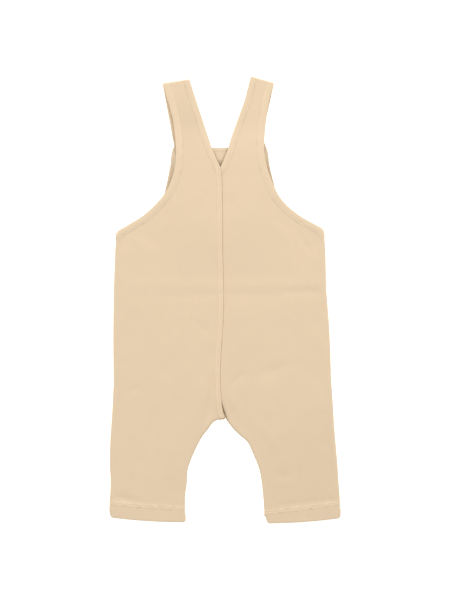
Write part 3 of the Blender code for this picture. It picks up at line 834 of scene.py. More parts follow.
@dataclass
class Rows:
    """Where every row of a panel starts and ends, and the section values on the way."""

    outer: np.ndarray
    inner: np.ndarray
    rolls: np.ndarray
    bow: np.ndarray
    raised: np.ndarray
    first: dict

    @classmethod
    def through(cls, sections: tuple, side: Side | None, face: Face, fine: tuple) -> "Rows":
        """Rows through sections, closer together at an end that has a bare rim.

        Args:
            sections: the sections in order.
            side: the half of the garment, for edges on the centre seam.
            face: which way the cloth's outside looks.
            fine: whether the first and the last end have a bare rim.

        Returns:
            The rows.
        """
        ends = [(CENTRE.edge_x(s.inner[1], side, face), s.inner[1])
                if s.inner[0] is SEAM else s.inner for s in sections]
        outer = SmoothLine([s.outer for s in sections], [
            i for i, s in enumerate(sections) if s.corner in (Corner.OUTER, Corner.BOTH)])
        inner = SmoothLine(ends, [
            i for i, s in enumerate(sections) if s.corner in (Corner.INNER, Corner.BOTH)])
        rows, first = [], {}
        for index, (here, after) in enumerate(zip(sections, sections[1:])):
            first[here.name] = len(rows)
            span = max(math.dist(here.outer, after.outer), math.dist(ends[index], ends[index + 1]))
            shares = list(np.arange(max(1, round(span / here.pitch))) * here.pitch / span)
            if fine[0] and index == 0:
                shares = [reach / span for reach in END_REACHES] + shares[1:]
            if fine[1] and index == len(sections) - 2:
                shares = ([s for s in shares if s < 1 - 1.4 / span]
                          + [1 - reach / span for reach in END_REACHES[:0:-1]])
            for share in shares:
                end = inner.at(index, share)
                if here.inner[0] is SEAM and after.inner[0] is SEAM:
                    end[0] = CENTRE.edge_x(end[1], side, face)
                rows.append((outer.at(index, share), end,
                             mix(np.array(here.zone.value), np.array(after.zone.value), share),
                             mix(here.bow, after.bow, share),
                             mix(here.raised, after.raised, share)))
        first[sections[-1].name] = len(rows)
        last = sections[-1]
        rows.append((outer.points[-1], inner.points[-1], np.array(last.zone.value), last.bow,
                     last.raised))
        return cls(*(np.array(values) for values in zip(*rows)), first)


@dataclass
class Lay:
    """Rows of points in the middle of a wall of cloth, with what gives them thickness."""

    middle: np.ndarray
    outward: np.ndarray
    outside: np.ndarray
    inside: np.ndarray
    grain: np.ndarray
    wear: np.ndarray

    @classmethod
    def joined(cls, parts: list) -> "Lay":
        """Several lays, one after the other."""
        return cls(*(np.concatenate(values)
                     for values in zip(*(part.values() for part in parts))))

    def values(self) -> list:
        """The lay's arrays, in order."""
        return [getattr(self, value.name) for value in fields(self)]

    def turned(self, first: int, last: int, gap: float) -> "Lay":
        """The folded inner layer and the fold of a hem, to go before the first row.

        Args:
            first: row that the fold is at.
            last: last row that the inner layer lies under.
            gap: from the middle of the outer layer to the middle of the inner one.

        Returns:
            The rows, from the inner layer's raw edge to the fold.
        """
        down = self.middle[first] - self.middle[first + 2]
        down[:, 2] = 0
        down /= np.linalg.norm(down, axis=1)[:, None]
        wall = np.full(self.inside[first].shape, CLOTH / 2)
        inner = Lay(self.middle[first:last] - self.outward[first:last] * gap,
                    -self.outward[first:last], np.tile(wall, (last - first, 1)),
                    np.tile(wall, (last - first, 1)), self.grain[first:last] * (1, -1),
                    self.wear[first:last])
        parts = [Lay(*(values[::-1] for values in inner.values()))]
        for angle in np.linspace(math.pi, 0, HEM_TURN_STEPS + 1)[1:-1]:
            outward = self.outward[first] * math.cos(angle) + down * math.sin(angle)
            centre = self.middle[first] - self.outward[first] * gap / 2
            parts.append(Lay((centre + outward * gap / 2)[None], outward[None], wall[None],
                             wall[None], self.grain[first][None],
                             self.wear[first][None] + HEM_TURN_HIGHLIGHT))
        return Lay.joined(parts)


@dataclass
class Run:
    """One flat run of a panel: rows of knots across it, laid on its height.

    fine says whether its first and last row are bare rims. Up to the row seamed, its inner edge
    is sewn to its neighbour and keeps its whole wall.
    """

    sections: tuple
    side: Side | None
    face: Face
    height: Callable[[np.ndarray, np.ndarray, np.ndarray], np.ndarray]
    columns: int = MIDDLE_COLUMNS
    fine: tuple = (False, False)
    seamed: int = 0
    sewings: list = field(default_factory=list)

    def __post_init__(self) -> None:
        """Trace the rows and the two edges."""
        self.rows = Rows.through(self.sections, self.side, self.face, self.fine)
        way = 1 if self.rows.inner[0][0] > self.rows.outer[0][0] else -1
        if self.sections[-1].outer[1] < self.sections[0].outer[1]:
            way = -way
        self.outer = Edge(self.rows.outer, self.rows.rolls[:, 0], way)
        self.inner = Edge(self.rows.inner, self.rows.rolls[:, 1], -way)

    def across(self, index: int) -> np.ndarray:
        """Places of one row's knots in plan, before its bow.

        Args:
            index: which row.

        Returns:
            The places, from the outer edge to the inner one.
        """
        start, end = self.rows.outer[index], self.rows.inner[index]
        width = np.linalg.norm(end - start)
        way = (end - start) / width
        most = min(width * END_SHARE, END_MOST)
        tried = np.concatenate((np.linspace(0, NEAR_TRIED, 40),
                                np.linspace(NEAR_TRIED + 0.1, most, 70)))
        ends = []
        for edge, origin, sign, rest in ((self.outer, start, 1, OUTER_REACHES),
                                         (self.inner, end, -1, INNER_REACHES)):
            roll = edge.roll[index]
            rolled = ROLL - ROLL_MIDDLE * np.cos(ROLL_ANGLES)
            wanted = np.concatenate((mix(FLAT_REACHES, rolled, roll), rest))
            found = edge.near(origin + sign * way * tried[:, None]).distance
            found = np.maximum.accumulate(found + np.arange(len(found)) * TINY / 10)
            ends.append(np.interp(wanted, found, tried))
        outer, inner = ends[0], width - ends[1][::-1]
        middle = np.linspace(outer[-1], inner[0], self.columns + 2)[1:-1]
        return start + way * np.concatenate((outer, middle, inner))[:, None]

    def row(self, index: int) -> tuple:
        """One row of knots.

        Args:
            index: which row.

        Returns:
            Middle, outward, outside, inside, grain, and wear and painted shading of the row's
            knots.
        """
        places = self.across(index)
        nears = (self.outer.near(places, True), self.inner.near(places, True))
        width = places[-1] - places[0]
        share = (places - places[0]) @ unit(width) / np.linalg.norm(width)
        calm = nears[0].calm * nears[1].calm
        z = self.height(places, nears[0].full * nears[1].full, calm)
        outward = np.zeros((len(places), 3))
        outward[:, 2] = self.face.value
        wall = np.full(len(places), CLOTH / 2)
        for near in nears:
            turn = np.clip((ROLL - near.distance) / ROLL_MIDDLE, 0, math.cos(ROLL_ANGLES[0]))
            climb = np.sqrt(1 - turn ** 2)
            rolled = ROLL + self.face.value * ROLL_MIDDLE * climb
            within = near.roll * (near.distance < ROLL)
            z = mix(z, rolled, within)
            out = np.column_stack((-near.away * turn[:, None], self.face.value * climb))
            outward = mix(outward, out, within[:, None])
            plain = index < self.seamed and near is nears[1]
            wall *= mix(round_rim(near.distance), 1.0, np.maximum(near.roll, plain))
        wall *= self.end_rim(index)
        lifted, raised, wear = self.worked(places, calm)
        hem = self.rows.raised[index]
        z = z + (lifted + hem * (1 if self.face is Face.UP else 0)) * self.face.value
        outward /= np.linalg.norm(outward, axis=1)[:, None]
        places = places - np.outer(4 * self.rows.bow[index] * share * (1 - share), (0, 1))
        raised = raised * wall / (CLOTH / 2)
        shown = 1 if self.face is Face.UP else 0.4
        outside, inside = wall + raised * shown, wall + raised * (1 - shown)
        # painted highlight along the edges, strongest on a roll, left out where painted shade is
        edge_highlight = sum((EDGE_HIGHLIGHT + ROLL_HIGHLIGHT * near.roll)
                        * np.exp(-(near.distance / HIGHLIGHT_REACH) ** 2) for near in nears)
        return (np.column_stack((places, z)), outward, outside, inside, places,
                np.clip(wear + edge_highlight * (wear >= 0), -1, 1))

    def end_rim(self, index: int) -> float:
        """Share of the wall that a row has near an end with a bare rim.

        Args:
            index: which row.

        Returns:
            The share.
        """
        share = 1.0
        for bare, last in zip(self.fine, (0, -1)):
            if bare:
                here = (self.rows.outer[index] + self.rows.inner[index]) / 2
                end = (self.rows.outer[last] + self.rows.inner[last]) / 2
                share *= float(round_rim(np.linalg.norm(here - end)))
        return share

    def worked(self, places: np.ndarray, calm: np.ndarray) -> tuple:
        """What the sewings do to the cloth.  Where bands meet, the strongest counts.

        Args:
            places: places in plan.
            calm: 0 at a side seam, rising to 1 where puckers have their whole height.

        Returns:
            How far the cloth is lifted, how much thicker its outside is, and its wear and painted
            shading.
        """
        lifted, raised, wear = np.zeros((3, len(places)))
        for sewing in self.sewings:
            lift, thicker, wear_and_shading = sewing.relief(sewing.edge.near(places))
            lifted += lift * calm
            raised = (raised + thicker if sewing.raised < 0 else
                      np.where(np.abs(thicker) > np.abs(raised), thicker, raised))
            wear = np.where(np.abs(wear_and_shading) > np.abs(wear), wear_and_shading, wear)
        return lifted, raised, wear

    def clear(self, path: np.ndarray, own: Sewing) -> np.ndarray:
        """The part of a row of stitches that stops at the other sewings' own rows.

        Args:
            path: the row's points in plan.
            own: the sewing that it belongs to.

        Returns:
            The points that are kept.
        """
        kept = np.ones(len(path), bool)
        for other in self.sewings:
            if other is not own and other.lines:
                kept &= other.edge.near(path).distance > other.lines[0] - 0.4
        return path[kept]

    def bowed(self, path: np.ndarray) -> np.ndarray:
        """A path in plan, moved as the rows' bow moves the cloth there.

        Args:
            path: its points.

        Returns:
            The moved points.
        """
        outer, inner, bow = self.rows.outer, self.rows.inner, self.rows.bow
        moved = []
        for x, y in path:
            share = np.clip((x - outer[:, 0]) / (inner[:, 0] - outer[:, 0]), 0, 1)
            heights = mix(outer[:, 1], inner[:, 1], share)
            sag = np.interp(y, heights, 4 * bow * share * (1 - share))
            moved.append((x, y - sag))
        return np.array(moved)

    def lay(self) -> Lay:
        """All rows of the run."""
        return Lay(*(np.array(values) for values in
                     zip(*(self.row(index) for index in range(len(self.rows.outer))))))


def soften_corners(lay: Lay, run: Run, end: int, upward: bool, radius: float,
                   fade: float) -> None:
    """Round the two corners at an end of a run, by moving the rows near it back there.

    Args:
        lay: the run's rows, which are changed.
        run: the run.
        end: which row is the end.
        upward: whether the end looks towards the shoulders.
        radius: the corners' radius.
        fade: how far from the end rows still move.
    """
    outer, inner = run.rows.outer[end], run.rows.inner[end]
    away = unit(np.array((outer[1] - inner[1], inner[0] - outer[0])))
    away = away if (away[1] > 0) == upward else -away
    for index in range(len(run.rows.outer)):
        centre = (run.rows.outer[index] + run.rows.inner[index]) / 2
        weight = 1 - ease(np.linalg.norm(centre - (outer + inner) / 2), 0, fade)
        if weight > 0:
            places = run.across(index)
            reach = np.minimum(run.outer.near(places).distance, run.inner.near(places).distance)
            short = radius - np.minimum(reach, radius)
            drop = radius - np.sqrt(radius ** 2 - short ** 2)
            lay.middle[index, :, :2] -= np.outer(drop * weight, away)


def round_rim(distance: Value) -> Value:
    """Share of the wall at a distance from a rim, which is round."""
    short = 1 - np.clip(distance / RIM, 0, 1)
    return np.maximum(np.sqrt(1 - short ** 2), THINNEST)


class Cloth:
    """A piece of cloth: a closed wall on the rows of a lay."""

    def __init__(self, name: str, lay: Lay, material: bpy.types.Material,
                 painted_shadow: np.ndarray | None = None) -> None:
        """Build the wall.

        Args:
            name: the piece's name.
            lay: the rows of points.
            material: the finish.
            painted_shadow: how much painted shadow darkens the inside at each knot.
        """
        rows, columns = lay.outside.shape
        painted_shadow = np.zeros(rows * columns) if painted_shadow is None else painted_shadow
        bm = bmesh.new()
        bmesh.ops.create_grid(bm, x_segments=columns - 1, y_segments=rows - 1, size=1)
        number = bm.verts.layers.int.new("knot")
        grain = bm.verts.layers.float_vector.new("grain")
        wear = bm.verts.layers.float.new("wear")
        for index, vertex in enumerate(bm.verts):
            vertex[number] = index
        extruded = bmesh.ops.extrude_face_region(bm, geom=bm.faces[:])
        inner = {item for item in extruded["geom"] if isinstance(item, bmesh.types.BMVert)}
        middle = lay.middle.reshape(-1, 3)
        outward = lay.outward.reshape(-1, 3)
        outer_co = (middle + outward * lay.outside.reshape(-1, 1)) * MM
        inner_co = (middle - outward * lay.inside.reshape(-1, 1)) * MM
        flat = lay.grain.reshape(-1, 2) * MM
        wear_and_shading = lay.wear.ravel()
        for vertex in bm.verts:
            knot = vertex[number]
            vertex.co = inner_co[knot] if vertex in inner else outer_co[knot]
            vertex[grain] = (flat[knot][0], flat[knot][1], 0.0)
            # the inside face also takes the painted shadow
            vertex[wear] = wear_and_shading[knot] - (painted_shadow[knot] if vertex in inner else 0.0)
        bmesh.ops.recalc_face_normals(bm, faces=bm.faces[:])
        self.tree = BVHTree.FromBMesh(bm)
        self.piece = make_piece(name, bm, material)

    def surface(self, place: np.ndarray, face: Face) -> tuple | None:
        """Point and normal of the cloth, seen from above or below.

        Args:
            place: the place in plan.
            face: which side is looked at.

        Returns:
            Point and normal, or nothing where there is no cloth.
        """
        origin = Vector((place[0] * MM, place[1] * MM, face.value * RAY_START))
        point, normal, _, _ = self.tree.ray_cast(origin, Vector((0, 0, -face.value)))
        return None if point is None else (point, normal)


def make_piece(name: str, bm: bmesh.types.BMesh, material: bpy.types.Material,
               sharp: float = 60.0) -> bpy.types.Object:
    """Put a bmesh in the scene as a smooth object with its place in its mesh.

    Args:
        name: the piece's name.
        bm: its shape, which is freed.
        material: its finish.
        sharp: faces that meet at more than this angle, in degrees, keep a sharp edge.

    Returns:
        The object.
    """
    mesh = bpy.data.meshes.new(name)
    bm.to_mesh(mesh)
    bm.free()
    mesh.materials.append(material)
    mesh.shade_smooth()
    mesh.set_sharp_from_angle(angle=math.radians(sharp))
    piece = bpy.data.objects.new(name, mesh)
    bpy.context.scene.collection.objects.link(piece)
    return piece


def even_path(path: np.ndarray, pitch: float) -> np.ndarray:
    """Points at an even pitch along a path.

    Args:
        path: the path's points in plan.
        pitch: the least distance from one point to the next.

    Returns:
        The points, half a pitch off the path's ends.
    """
    length = np.concatenate(([0.0], np.cumsum(np.hypot(*np.diff(path, axis=0).T))))
    count = max(1, int(length[-1] / pitch))
    wanted = (np.arange(count + 1) + 0.5) * length[-1] / (count + 1)
    return np.column_stack([np.interp(wanted, length, path[:, axis]) for axis in (0, 1)])


@dataclass
class Stitching:
    """Rows of single stitches in one piece of cloth."""

    name: str
    cloth: Cloth
    material: bpy.types.Material

    def __post_init__(self) -> None:
        """Start with no stitches."""
        self.bm = bmesh.new()
        single = bmesh.new()
        bmesh.ops.create_uvsphere(single, u_segments=6, v_segments=6, radius=1,
                                  matrix=Matrix.Rotation(math.pi / 2, 4, "Y"))
        self.single = bpy.data.meshes.new("single_stitch")
        single.to_mesh(self.single)
        single.free()

    def stitch(self, start: np.ndarray, end: np.ndarray, face: Face, width: float) -> None:
        """Sew one stitch, part sunk in the cloth, unless there is no cloth or it spans a step.

        Args:
            start: where it starts in plan.
            end: where it ends.
            face: the side of the cloth that it shows on.
            width: the thread's width.
        """
        hits = [self.cloth.surface(place, face) for place in (start, end)]
        if None in hits:
            return
        (low, first), (high, second) = hits
        way = high - low
        if not STITCH_SHORTEST <= way.length <= STITCH_LONGEST * STITCH_LENGTH * MM:
            return
        normal = (first + second).normalized()
        cross = normal.cross(way).normalized()
        normal = way.normalized().cross(cross)
        size = Vector((way.length / 2, width * MM / 2, width * MM * STITCH_HEIGHT))
        turn = Matrix((way.normalized(), cross, normal)).transposed().to_4x4()
        place = Matrix.Translation((low + high) / 2 + normal * STITCH_RISE * MM)
        stitch = self.single.copy()
        stitch.transform(place @ turn @ Matrix.Diagonal(size).to_4x4())
        self.bm.from_mesh(stitch)
        bpy.data.meshes.remove(stitch)

    def line(self, path: np.ndarray, face: Face, width: float = THREAD) -> None:
        """Sew a row of stitches.

        Args:
            path: its points in plan.
            face: the side of the cloth that it shows on.
            width: the thread's width.
        """
        points = even_path(path, STITCH_PITCH)
        for place, way in zip(points, np.gradient(points, axis=0)):
            half = unit(way) * STITCH_LENGTH / 2
            self.stitch(place - half, place + half, face, width)

    def bar(self, start: tuple, end: tuple, width: float, face: Face) -> None:
        """Sew a dense bar of short stitches, square to the line from start to end.

        Args:
            start: the bar's start in plan.
            end: its end.
            width: the stitches' length.
            face: the side of the cloth that it shows on.
        """
        start, end = np.array(start, float), np.array(end, float)
        way = unit(end - start)
        across = np.array((-way[1], way[0])) * width / 2
        for place in even_path(np.array((start, end)), BAR_PITCH):
            self.stitch(place - across, place + across, face, BAR_THREAD)

    def finish(self) -> bpy.types.Object:
        """The stitches as one piece."""
        bpy.data.meshes.remove(self.single)
        return make_piece(self.name, self.bm, self.material, 180.0)


class Signal:
    """A socket of a shader graph, whose arithmetic adds Math nodes."""

    def __init__(self, graph: "Graph", socket: bpy.types.NodeSocket) -> None:
        """Wrap a socket."""
        self.graph = graph
        self.socket = socket

    def math(self, operation: str, *values: "Signal | float") -> "Signal":
        """A Math node.

        Args:
            operation: what it works out.
            values: what from, as signals or numbers.

        Returns:
            Its result.
        """
        node = self.graph.add("ShaderNodeMath", {"operation": operation},
                              dict(enumerate(values)))
        return Signal(self.graph, node.outputs[0])

    def __add__(self, other: "Signal | float") -> "Signal":
        """Sum."""
        return self.math("ADD", self, other)

    def __mul__(self, other: "Signal | float") -> "Signal":
        """Product."""
        return self.math("MULTIPLY", self, other)

    def __sub__(self, other: "Signal | float") -> "Signal":
        """Difference."""
        return self.math("SUBTRACT", self, other)

    __radd__ = __add__
    __rmul__ = __mul__

    def sine(self) -> "Signal":
        """Sine."""
        return self.math("SINE", self)

    def power(self, exponent: float) -> "Signal":
        """Power."""
        return self.math("POWER", self, exponent)


class Graph:
    """The node graph of one material."""

    def __init__(self, name: str) -> None:
        """Start a material with an empty graph.

        Args:
            name: the material's name.
        """
        self.material = bpy.data.materials.new(name)
        self.material.use_nodes = True
        self.tree = self.material.node_tree
        self.tree.nodes.clear()

    def add(self, kind: str, settings: dict | None = None,
            sockets: dict | None = None) -> bpy.types.Node:
        """Add a node.

        Args:
            kind: the node's type.
            settings: its properties, which are set first.
            sockets: values, signals or sockets for its inputs, by name or number.

        Returns:
            The node.
        """
        node = self.tree.nodes.new(kind)
        for name, value in (settings or {}).items():
            setattr(node, name, value)
        for key, value in (sockets or {}).items():
            if isinstance(value, Signal):
                value = value.socket
            if isinstance(value, bpy.types.NodeSocket):
                self.tree.links.new(value, node.inputs[key])
            else:
                node.inputs[key].default_value = value
        return node

    def noise(self, vector: bpy.types.NodeSocket, scale: float, detail: float = 2.0) -> Signal:
        """Noise between 0 and 1.

        Args:
            vector: the place that it is taken at.
            scale: how fine it is.
            detail: how many finer layers it has.

        Returns:
            The noise.
        """
        node = self.add("ShaderNodeTexNoise", {}, {"Vector": vector, "Scale": scale,
                                                   "Detail": detail})
        return Signal(self, node.outputs[0])

    def blend(self, first: "tuple | bpy.types.NodeSocket", second: tuple,
              factor: "Signal | float") -> bpy.types.NodeSocket:
        """A colour mixed from two.

        Args:
            first: the colour at factor 0.
            second: the colour at factor 1.
            factor: the share of the second.

        Returns:
            The colour's socket.
        """
        node = self.add("ShaderNodeMix", {"data_type": "RGBA"}, {0: factor, 6: first, 7: second})
        return node.outputs[2]

    def bump(self, height: Signal, strength: float, distance: float) -> bpy.types.NodeSocket:
        """A normal that follows fine relief.

        Args:
            height: the relief, between 0 and 1.
            strength: how strongly it shows.
            distance: its depth in metres.

        Returns:
            The normal's socket.
        """
        node = self.add("ShaderNodeBump", {}, {"Strength": strength, "Distance": distance,
                                               "Height": height})
        return node.outputs[0]

    def surface(self, sockets: dict) -> bpy.types.Material:
        """End the graph in a Principled shader.

        Args:
            sockets: values, signals or sockets for its inputs.

        Returns:
            The material.
        """
        shader = self.add("ShaderNodeBsdfPrincipled", {}, sockets)
        self.add("ShaderNodeOutputMaterial", {}, {0: shader.outputs[0]})
        return self.material


def shade(color: tuple, share: float) -> tuple:
    """A colour made lighter or darker."""
    return tuple(min(channel * share, 1.0) for channel in color[:3]) + (1.0,)


@dataclass(frozen=True)
class Twill:
    """A fine cotton twill, dyed in the piece and a little uneven, lighter along its folds as faded
    wear and as painted highlight, and darker where painted shade and painted shadow fall.
    """

    name: str
    color: tuple
    rib: float = 0.00085
    slant: float = math.radians(62)
    sheen: float = 0.1
    slub_scale: float = 900.0
    fibre_scale: float = 3600.0
    cloud_scale: float = 17.0
    patch_scale: float = 75.0

    def material(self) -> bpy.types.Material:
        """Weave the twill on the place that each point has on the flat cut.

        Returns:
            The material.
        """
        graph = Graph(self.name)
        grain = graph.add("ShaderNodeAttribute", {"attribute_name": "grain"}).outputs["Vector"]
        wear_and_shading = graph.add("ShaderNodeAttribute", {"attribute_name": "wear"}).outputs["Fac"]
        wear_and_shading = Signal(graph, wear_and_shading)
        parts = graph.add("ShaderNodeSeparateXYZ", {}, {0: grain})
        x, y = Signal(graph, parts.outputs[0]), Signal(graph, parts.outputs[1])
        turn = 2 * math.pi / self.rib
        slub = graph.noise(grain, self.slub_scale, 3.0)
        ribs = (x * (turn * math.sin(self.slant)) - y * (turn * math.cos(self.slant))
                + slub * 2.2).sine() * 0.5 + 0.5
        yarn = (y * (turn * 1.9) + slub * 3.0).sine() * 0.5 + 0.5
        fibre = graph.noise(grain, self.fibre_scale)
        cloud = graph.noise(grain, self.cloud_scale, 3.0)
        patch = graph.noise(grain, self.patch_scale)
        weave = ribs * 0.6 + yarn * 0.25 + fibre * 0.5
        tone = graph.blend(shade(self.color, 0.93), shade(self.color, 1.035), weave * 0.75)
        # the last two blends paint the attribute's faded wear and painted highlight lighter, and
        # its painted shade and painted shadow darker
        for share, factor in ((0.94, cloud.power(2.0) * 0.42), (1.05, patch.power(3.0) * 0.6),
                              (1.14, wear_and_shading * 0.3), (0.5, wear_and_shading * -0.8)):
            tone = graph.blend(tone, shade(self.color, share), factor)
        return graph.surface({
            "Base Color": tone, "Roughness": fibre * 0.12 + 0.84,
            "Normal": graph.bump(weave, 0.22, 0.0002),
            "Sheen Weight": self.sheen, "Sheen Roughness": 0.5, "Specular IOR Level": 0.25})


@dataclass(frozen=True)
class Thread:
    """A matt cotton sewing thread, with its twist."""

    name: str
    color: tuple
    twist_scale: float = 900.0

    def material(self) -> bpy.types.Material:
        """Twist the thread.

        Returns:
            The material.
        """
        graph = Graph(self.name)
        place = graph.add("ShaderNodeTexCoord").outputs["Object"]
        twist = graph.add("ShaderNodeTexWave", {"bands_direction": "DIAGONAL"},
                          {"Vector": place, "Scale": self.twist_scale, "Distortion": 1.5,
                           "Detail": 1.0})
        strand = Signal(graph, twist.outputs[1])
        tone = graph.blend(shade(self.color, 0.86), self.color, strand)
        return graph.surface({
            "Base Color": tone, "Roughness": strand * 0.1 + 0.62,
            "Normal": graph.bump(strand, 0.4, 0.0001),
            "Sheen Weight": 0.15, "Specular IOR Level": 0.35})


@dataclass(frozen=True)
class Horn:
    """A cloudy, satin button material."""

    name: str
    color: tuple
    cloud_scale: float = 130.0
    speck_scale: float = 2400.0

    def material(self) -> bpy.types.Material:
        """Cloud and polish the horn.

        Returns:
            The material.
        """
        graph = Graph(self.name)
        place = graph.add("ShaderNodeTexCoord").outputs["Object"]
        cloud = graph.add("ShaderNodeTexNoise", {}, {"Vector": place, "Scale": self.cloud_scale,
                                                     "Detail": 3.0, "Distortion": 1.6})
        swirl = Signal(graph, cloud.outputs[0])
        speck = graph.noise(place, self.speck_scale)
        tone = graph.blend(shade(self.color, 0.72), shade(self.color, 1.18), swirl.power(1.4))
        return graph.surface({
            "Base Color": tone, "Roughness": speck * 0.12 + 0.34,
            "Normal": graph.bump(speck, 0.08, 0.0001),
            "Coat Weight": 0.25, "Coat Roughness": 0.2})


CLOTH_COLOR = (0.722, 0.566, 0.389, 1.0)
THREAD_COLOR = (0.86, 0.73, 0.55, 1.0)
HORN_COLOR = (0.52, 0.37, 0.22, 1.0)


@dataclass
class Finishes:
    """The materials of the garment, made once."""

    twill: bpy.types.Material
    thread: bpy.types.Material
    horn: bpy.types.Material


@dataclass
class BackPanel:
    """Half of the back, cut in one with its leg and its strap, which turns at the shoulder."""

    side: Side
    sections: tuple
    under_run: tuple
    finishes: Finishes
    felled: bool

    def __post_init__(self) -> None:
        """Lay out the two runs and their sewings."""
        word = self.side.name.lower()
        self.name = f"cloth_back_{word}"
        self.node = f"back_{word}"
        self.top = Run(self.sections, self.side, Face.UP, back_height)
        self.under = Run(self.under_run, self.side, Face.DOWN, under_height,
                         fine=(False, True))
        first = self.top.rows.first
        armhole = self.top.outer.part(first["underarm"])
        neck = self.top.inner.part(first["neck point"])
        rise = self.top.inner.part(first["crotch"], first["neck point"] + 1)
        fell = Sewing(rise, FELL_STITCHES, FELL_BAND, FELL_RAISE, groove=0.4, crease=0.0,
                      shadow=0.9, plump=0.0, sunk=1.0, faded=0.9)
        if not self.felled:
            fell = Sewing(rise, (), LAPPED_BAND, LAPPED_RAISE, crease=0.0, shadow=0.12)
            self.top.seamed = first["neck point"] + 1
        self.top.sewings = [
            hem_sewing(self.top),
            Sewing(armhole, (EDGE_STITCH,), EDGE_BAND, EDGE_RAISE, lead=4.2, shadow=0.15),
            Sewing(neck, (NECK_STITCH,), NECK_BAND, EDGE_RAISE), fell]
        end = straight_edge(self.under, -1, TIP_POINTS, self.side.value)
        self.under.sewings = [
            Sewing(self.under.outer, (EDGE_STITCH,), EDGE_BAND, EDGE_RAISE),
            Sewing(self.under.inner, (NECK_STITCH,), NECK_BAND, EDGE_RAISE),
            Sewing(end, (EDGE_STITCH,), EDGE_BAND, EDGE_RAISE)]

    def shoulder(self, top: Lay) -> Lay:
        """The half circle in which the strap turns over.

        Args:
            top: the rows up to the turn.

        Returns:
            The turn's own rows.
        """
        last = top.middle[-1]
        line = last[-1, :2] - last[0, :2]
        away = unit(np.array((-line[1], line[0], 0.0)))
        away = away if away[1] > 0 else -away
        parts = []
        for step in range(1, FOLD_STEPS):
            angle = math.pi * step / FOLD_STEPS
            outward = away * math.sin(angle) + np.array((0, 0, math.cos(angle)))
            middle = last + outward * FOLD_MIDDLE
            middle[:, 2] = FOLD_RADIUS + outward[2] * FOLD_MIDDLE
            raised = (top.outside[-1] - top.inside[-1]) * max(math.cos(angle), 0)
            grain = top.grain[-1] + np.array((0, angle * FOLD_MIDDLE))
            parts.append(Lay(middle[None], np.tile(outward, (len(last), 1))[None],
                             (top.inside[-1] + raised)[None], top.inside[-1][None],
                             grain[None], top.wear[-1][None]))
        return Lay.joined(parts)

    def build(self) -> Cloth:
        """Make the cloth of the panel, from its hem over the shoulder to the strap's tip.

        Returns:
            The cloth.
        """
        top, under = self.top.lay(), self.under.lay()
        places = top.grain.reshape(-1, 2)
        # painted shade in broad patches on the back, and its mean over the last row on the strap's
        # under run
        dark = sum(patch.darkness(places) for patch in BACK_PAINTED_SHADES)
        top.wear -= dark.reshape(top.wear.shape)
        under.wear -= dark[-top.wear.shape[1]:].mean()
        soften_corners(top, self.top, -1, True, *STRAP_CORNER)
        soften_corners(under, self.under, 0, True, *STRAP_CORNER)
        soften_corners(under, self.under, -1, False, *STRAP_TIP_CORNER)
        soften_corners(top, self.top, 0, False, *HEM_CORNER)
        flat = under.grain
        flat[..., 1] = 2 * top.grain[-1, :, 1][None] - flat[..., 1] + math.pi * FOLD_MIDDLE
        shoulder_fade = ease(np.linspace(0, 1, len(under.outside)), 0, 0.12)[:, None]
        under.outside = mix(under.inside, under.outside, shoulder_fade)
        hem = top.turned(0, self.top.rows.first["hem top"], HEM_TURN_GAP)
        lay = Lay.joined([hem, top, self.shoulder(top), under])
        self.cloth = Cloth(self.name, lay, self.finishes.twill)
        return self.cloth

    def sew(self) -> bpy.types.Object:
        """Sew the panel's rows of stitches, its buttonhole and the bar at the neck's point.

        Returns:
            The stitches.
        """
        stitches = Stitching(f"stitches_{self.node}", self.cloth, self.finishes.thread)
        for run in (self.top, self.under):
            for sewing in run.sewings[run is self.top:]:
                for line in sewing.lines:
                    path = sewing.edge.offset(line, sewing.lead)
                    path = path[4:-1] if len(path) > 12 else path
                    stitches.line(run.clear(path, sewing), run.face)
        stitches.line(hem_line(self.top), Face.UP)
        low, high = [np.array((strap_middle(self.under_run, y), y))
                     for y in (BUTTON_Y - BUTTONHOLE_REACH, BUTTON_Y + BUTTONHOLE_REACH)]
        aside = np.array((BUTTONHOLE_WIDTH, 0.0))
        for across in (-aside, aside):
            stitches.bar(low + across / 2, high + across / 2, BUTTONHOLE_BAR, Face.DOWN)
        for end in (low, high):
            stitches.bar(end - aside, end + aside, BUTTONHOLE_END, Face.DOWN)
        seam = CENTRE.edge_x(NECK_TACK_Y, self.side, Face.UP)
        start, end = [(seam + beside * self.side.value, NECK_TACK_Y) for beside in NECK_TACK]
        stitches.bar(start, end, NECK_TACK_WIDTH, Face.UP)
        return stitches.finish()


def straight_edge(run: Run, row: int, points: int, inside: int) -> Edge:
    """One row of a run as an edge, from its outer end to its inner one.

    Args:
        run: the run.
        row: which row.
        points: how many points the edge gets.
        inside: 1 where the cloth is to the right of the way along it, otherwise -1.

    Returns:
        The edge.
    """
    share = np.linspace(0, 1, points)[:, None]
    line = mix(run.rows.outer[row], run.rows.inner[row], share)
    return Edge(line, np.zeros(points), inside)


def hem_sewing(run: Run) -> Sewing:
    """A hem's stitches, with the ridge that the turned-in edge makes round them."""
    line = straight_edge(run, run.rows.first["hem stitch"], 2, 1)
    return Sewing(line, (0.0,), 1.6, 0.12, pucker=0.3, groove=0.3)


def hem_line(run: Run) -> np.ndarray:
    """The path of a hem's stitches in plan, bowed as the hem is.

    Args:
        run: the run that the hem is on.

    Returns:
        The path's points.
    """
    index = run.rows.first["hem stitch"]
    share = np.linspace(0.012, 0.988, HEM_POINTS)
    return run.bowed(mix(run.rows.outer[index], run.rows.inner[index], share[:, None]))


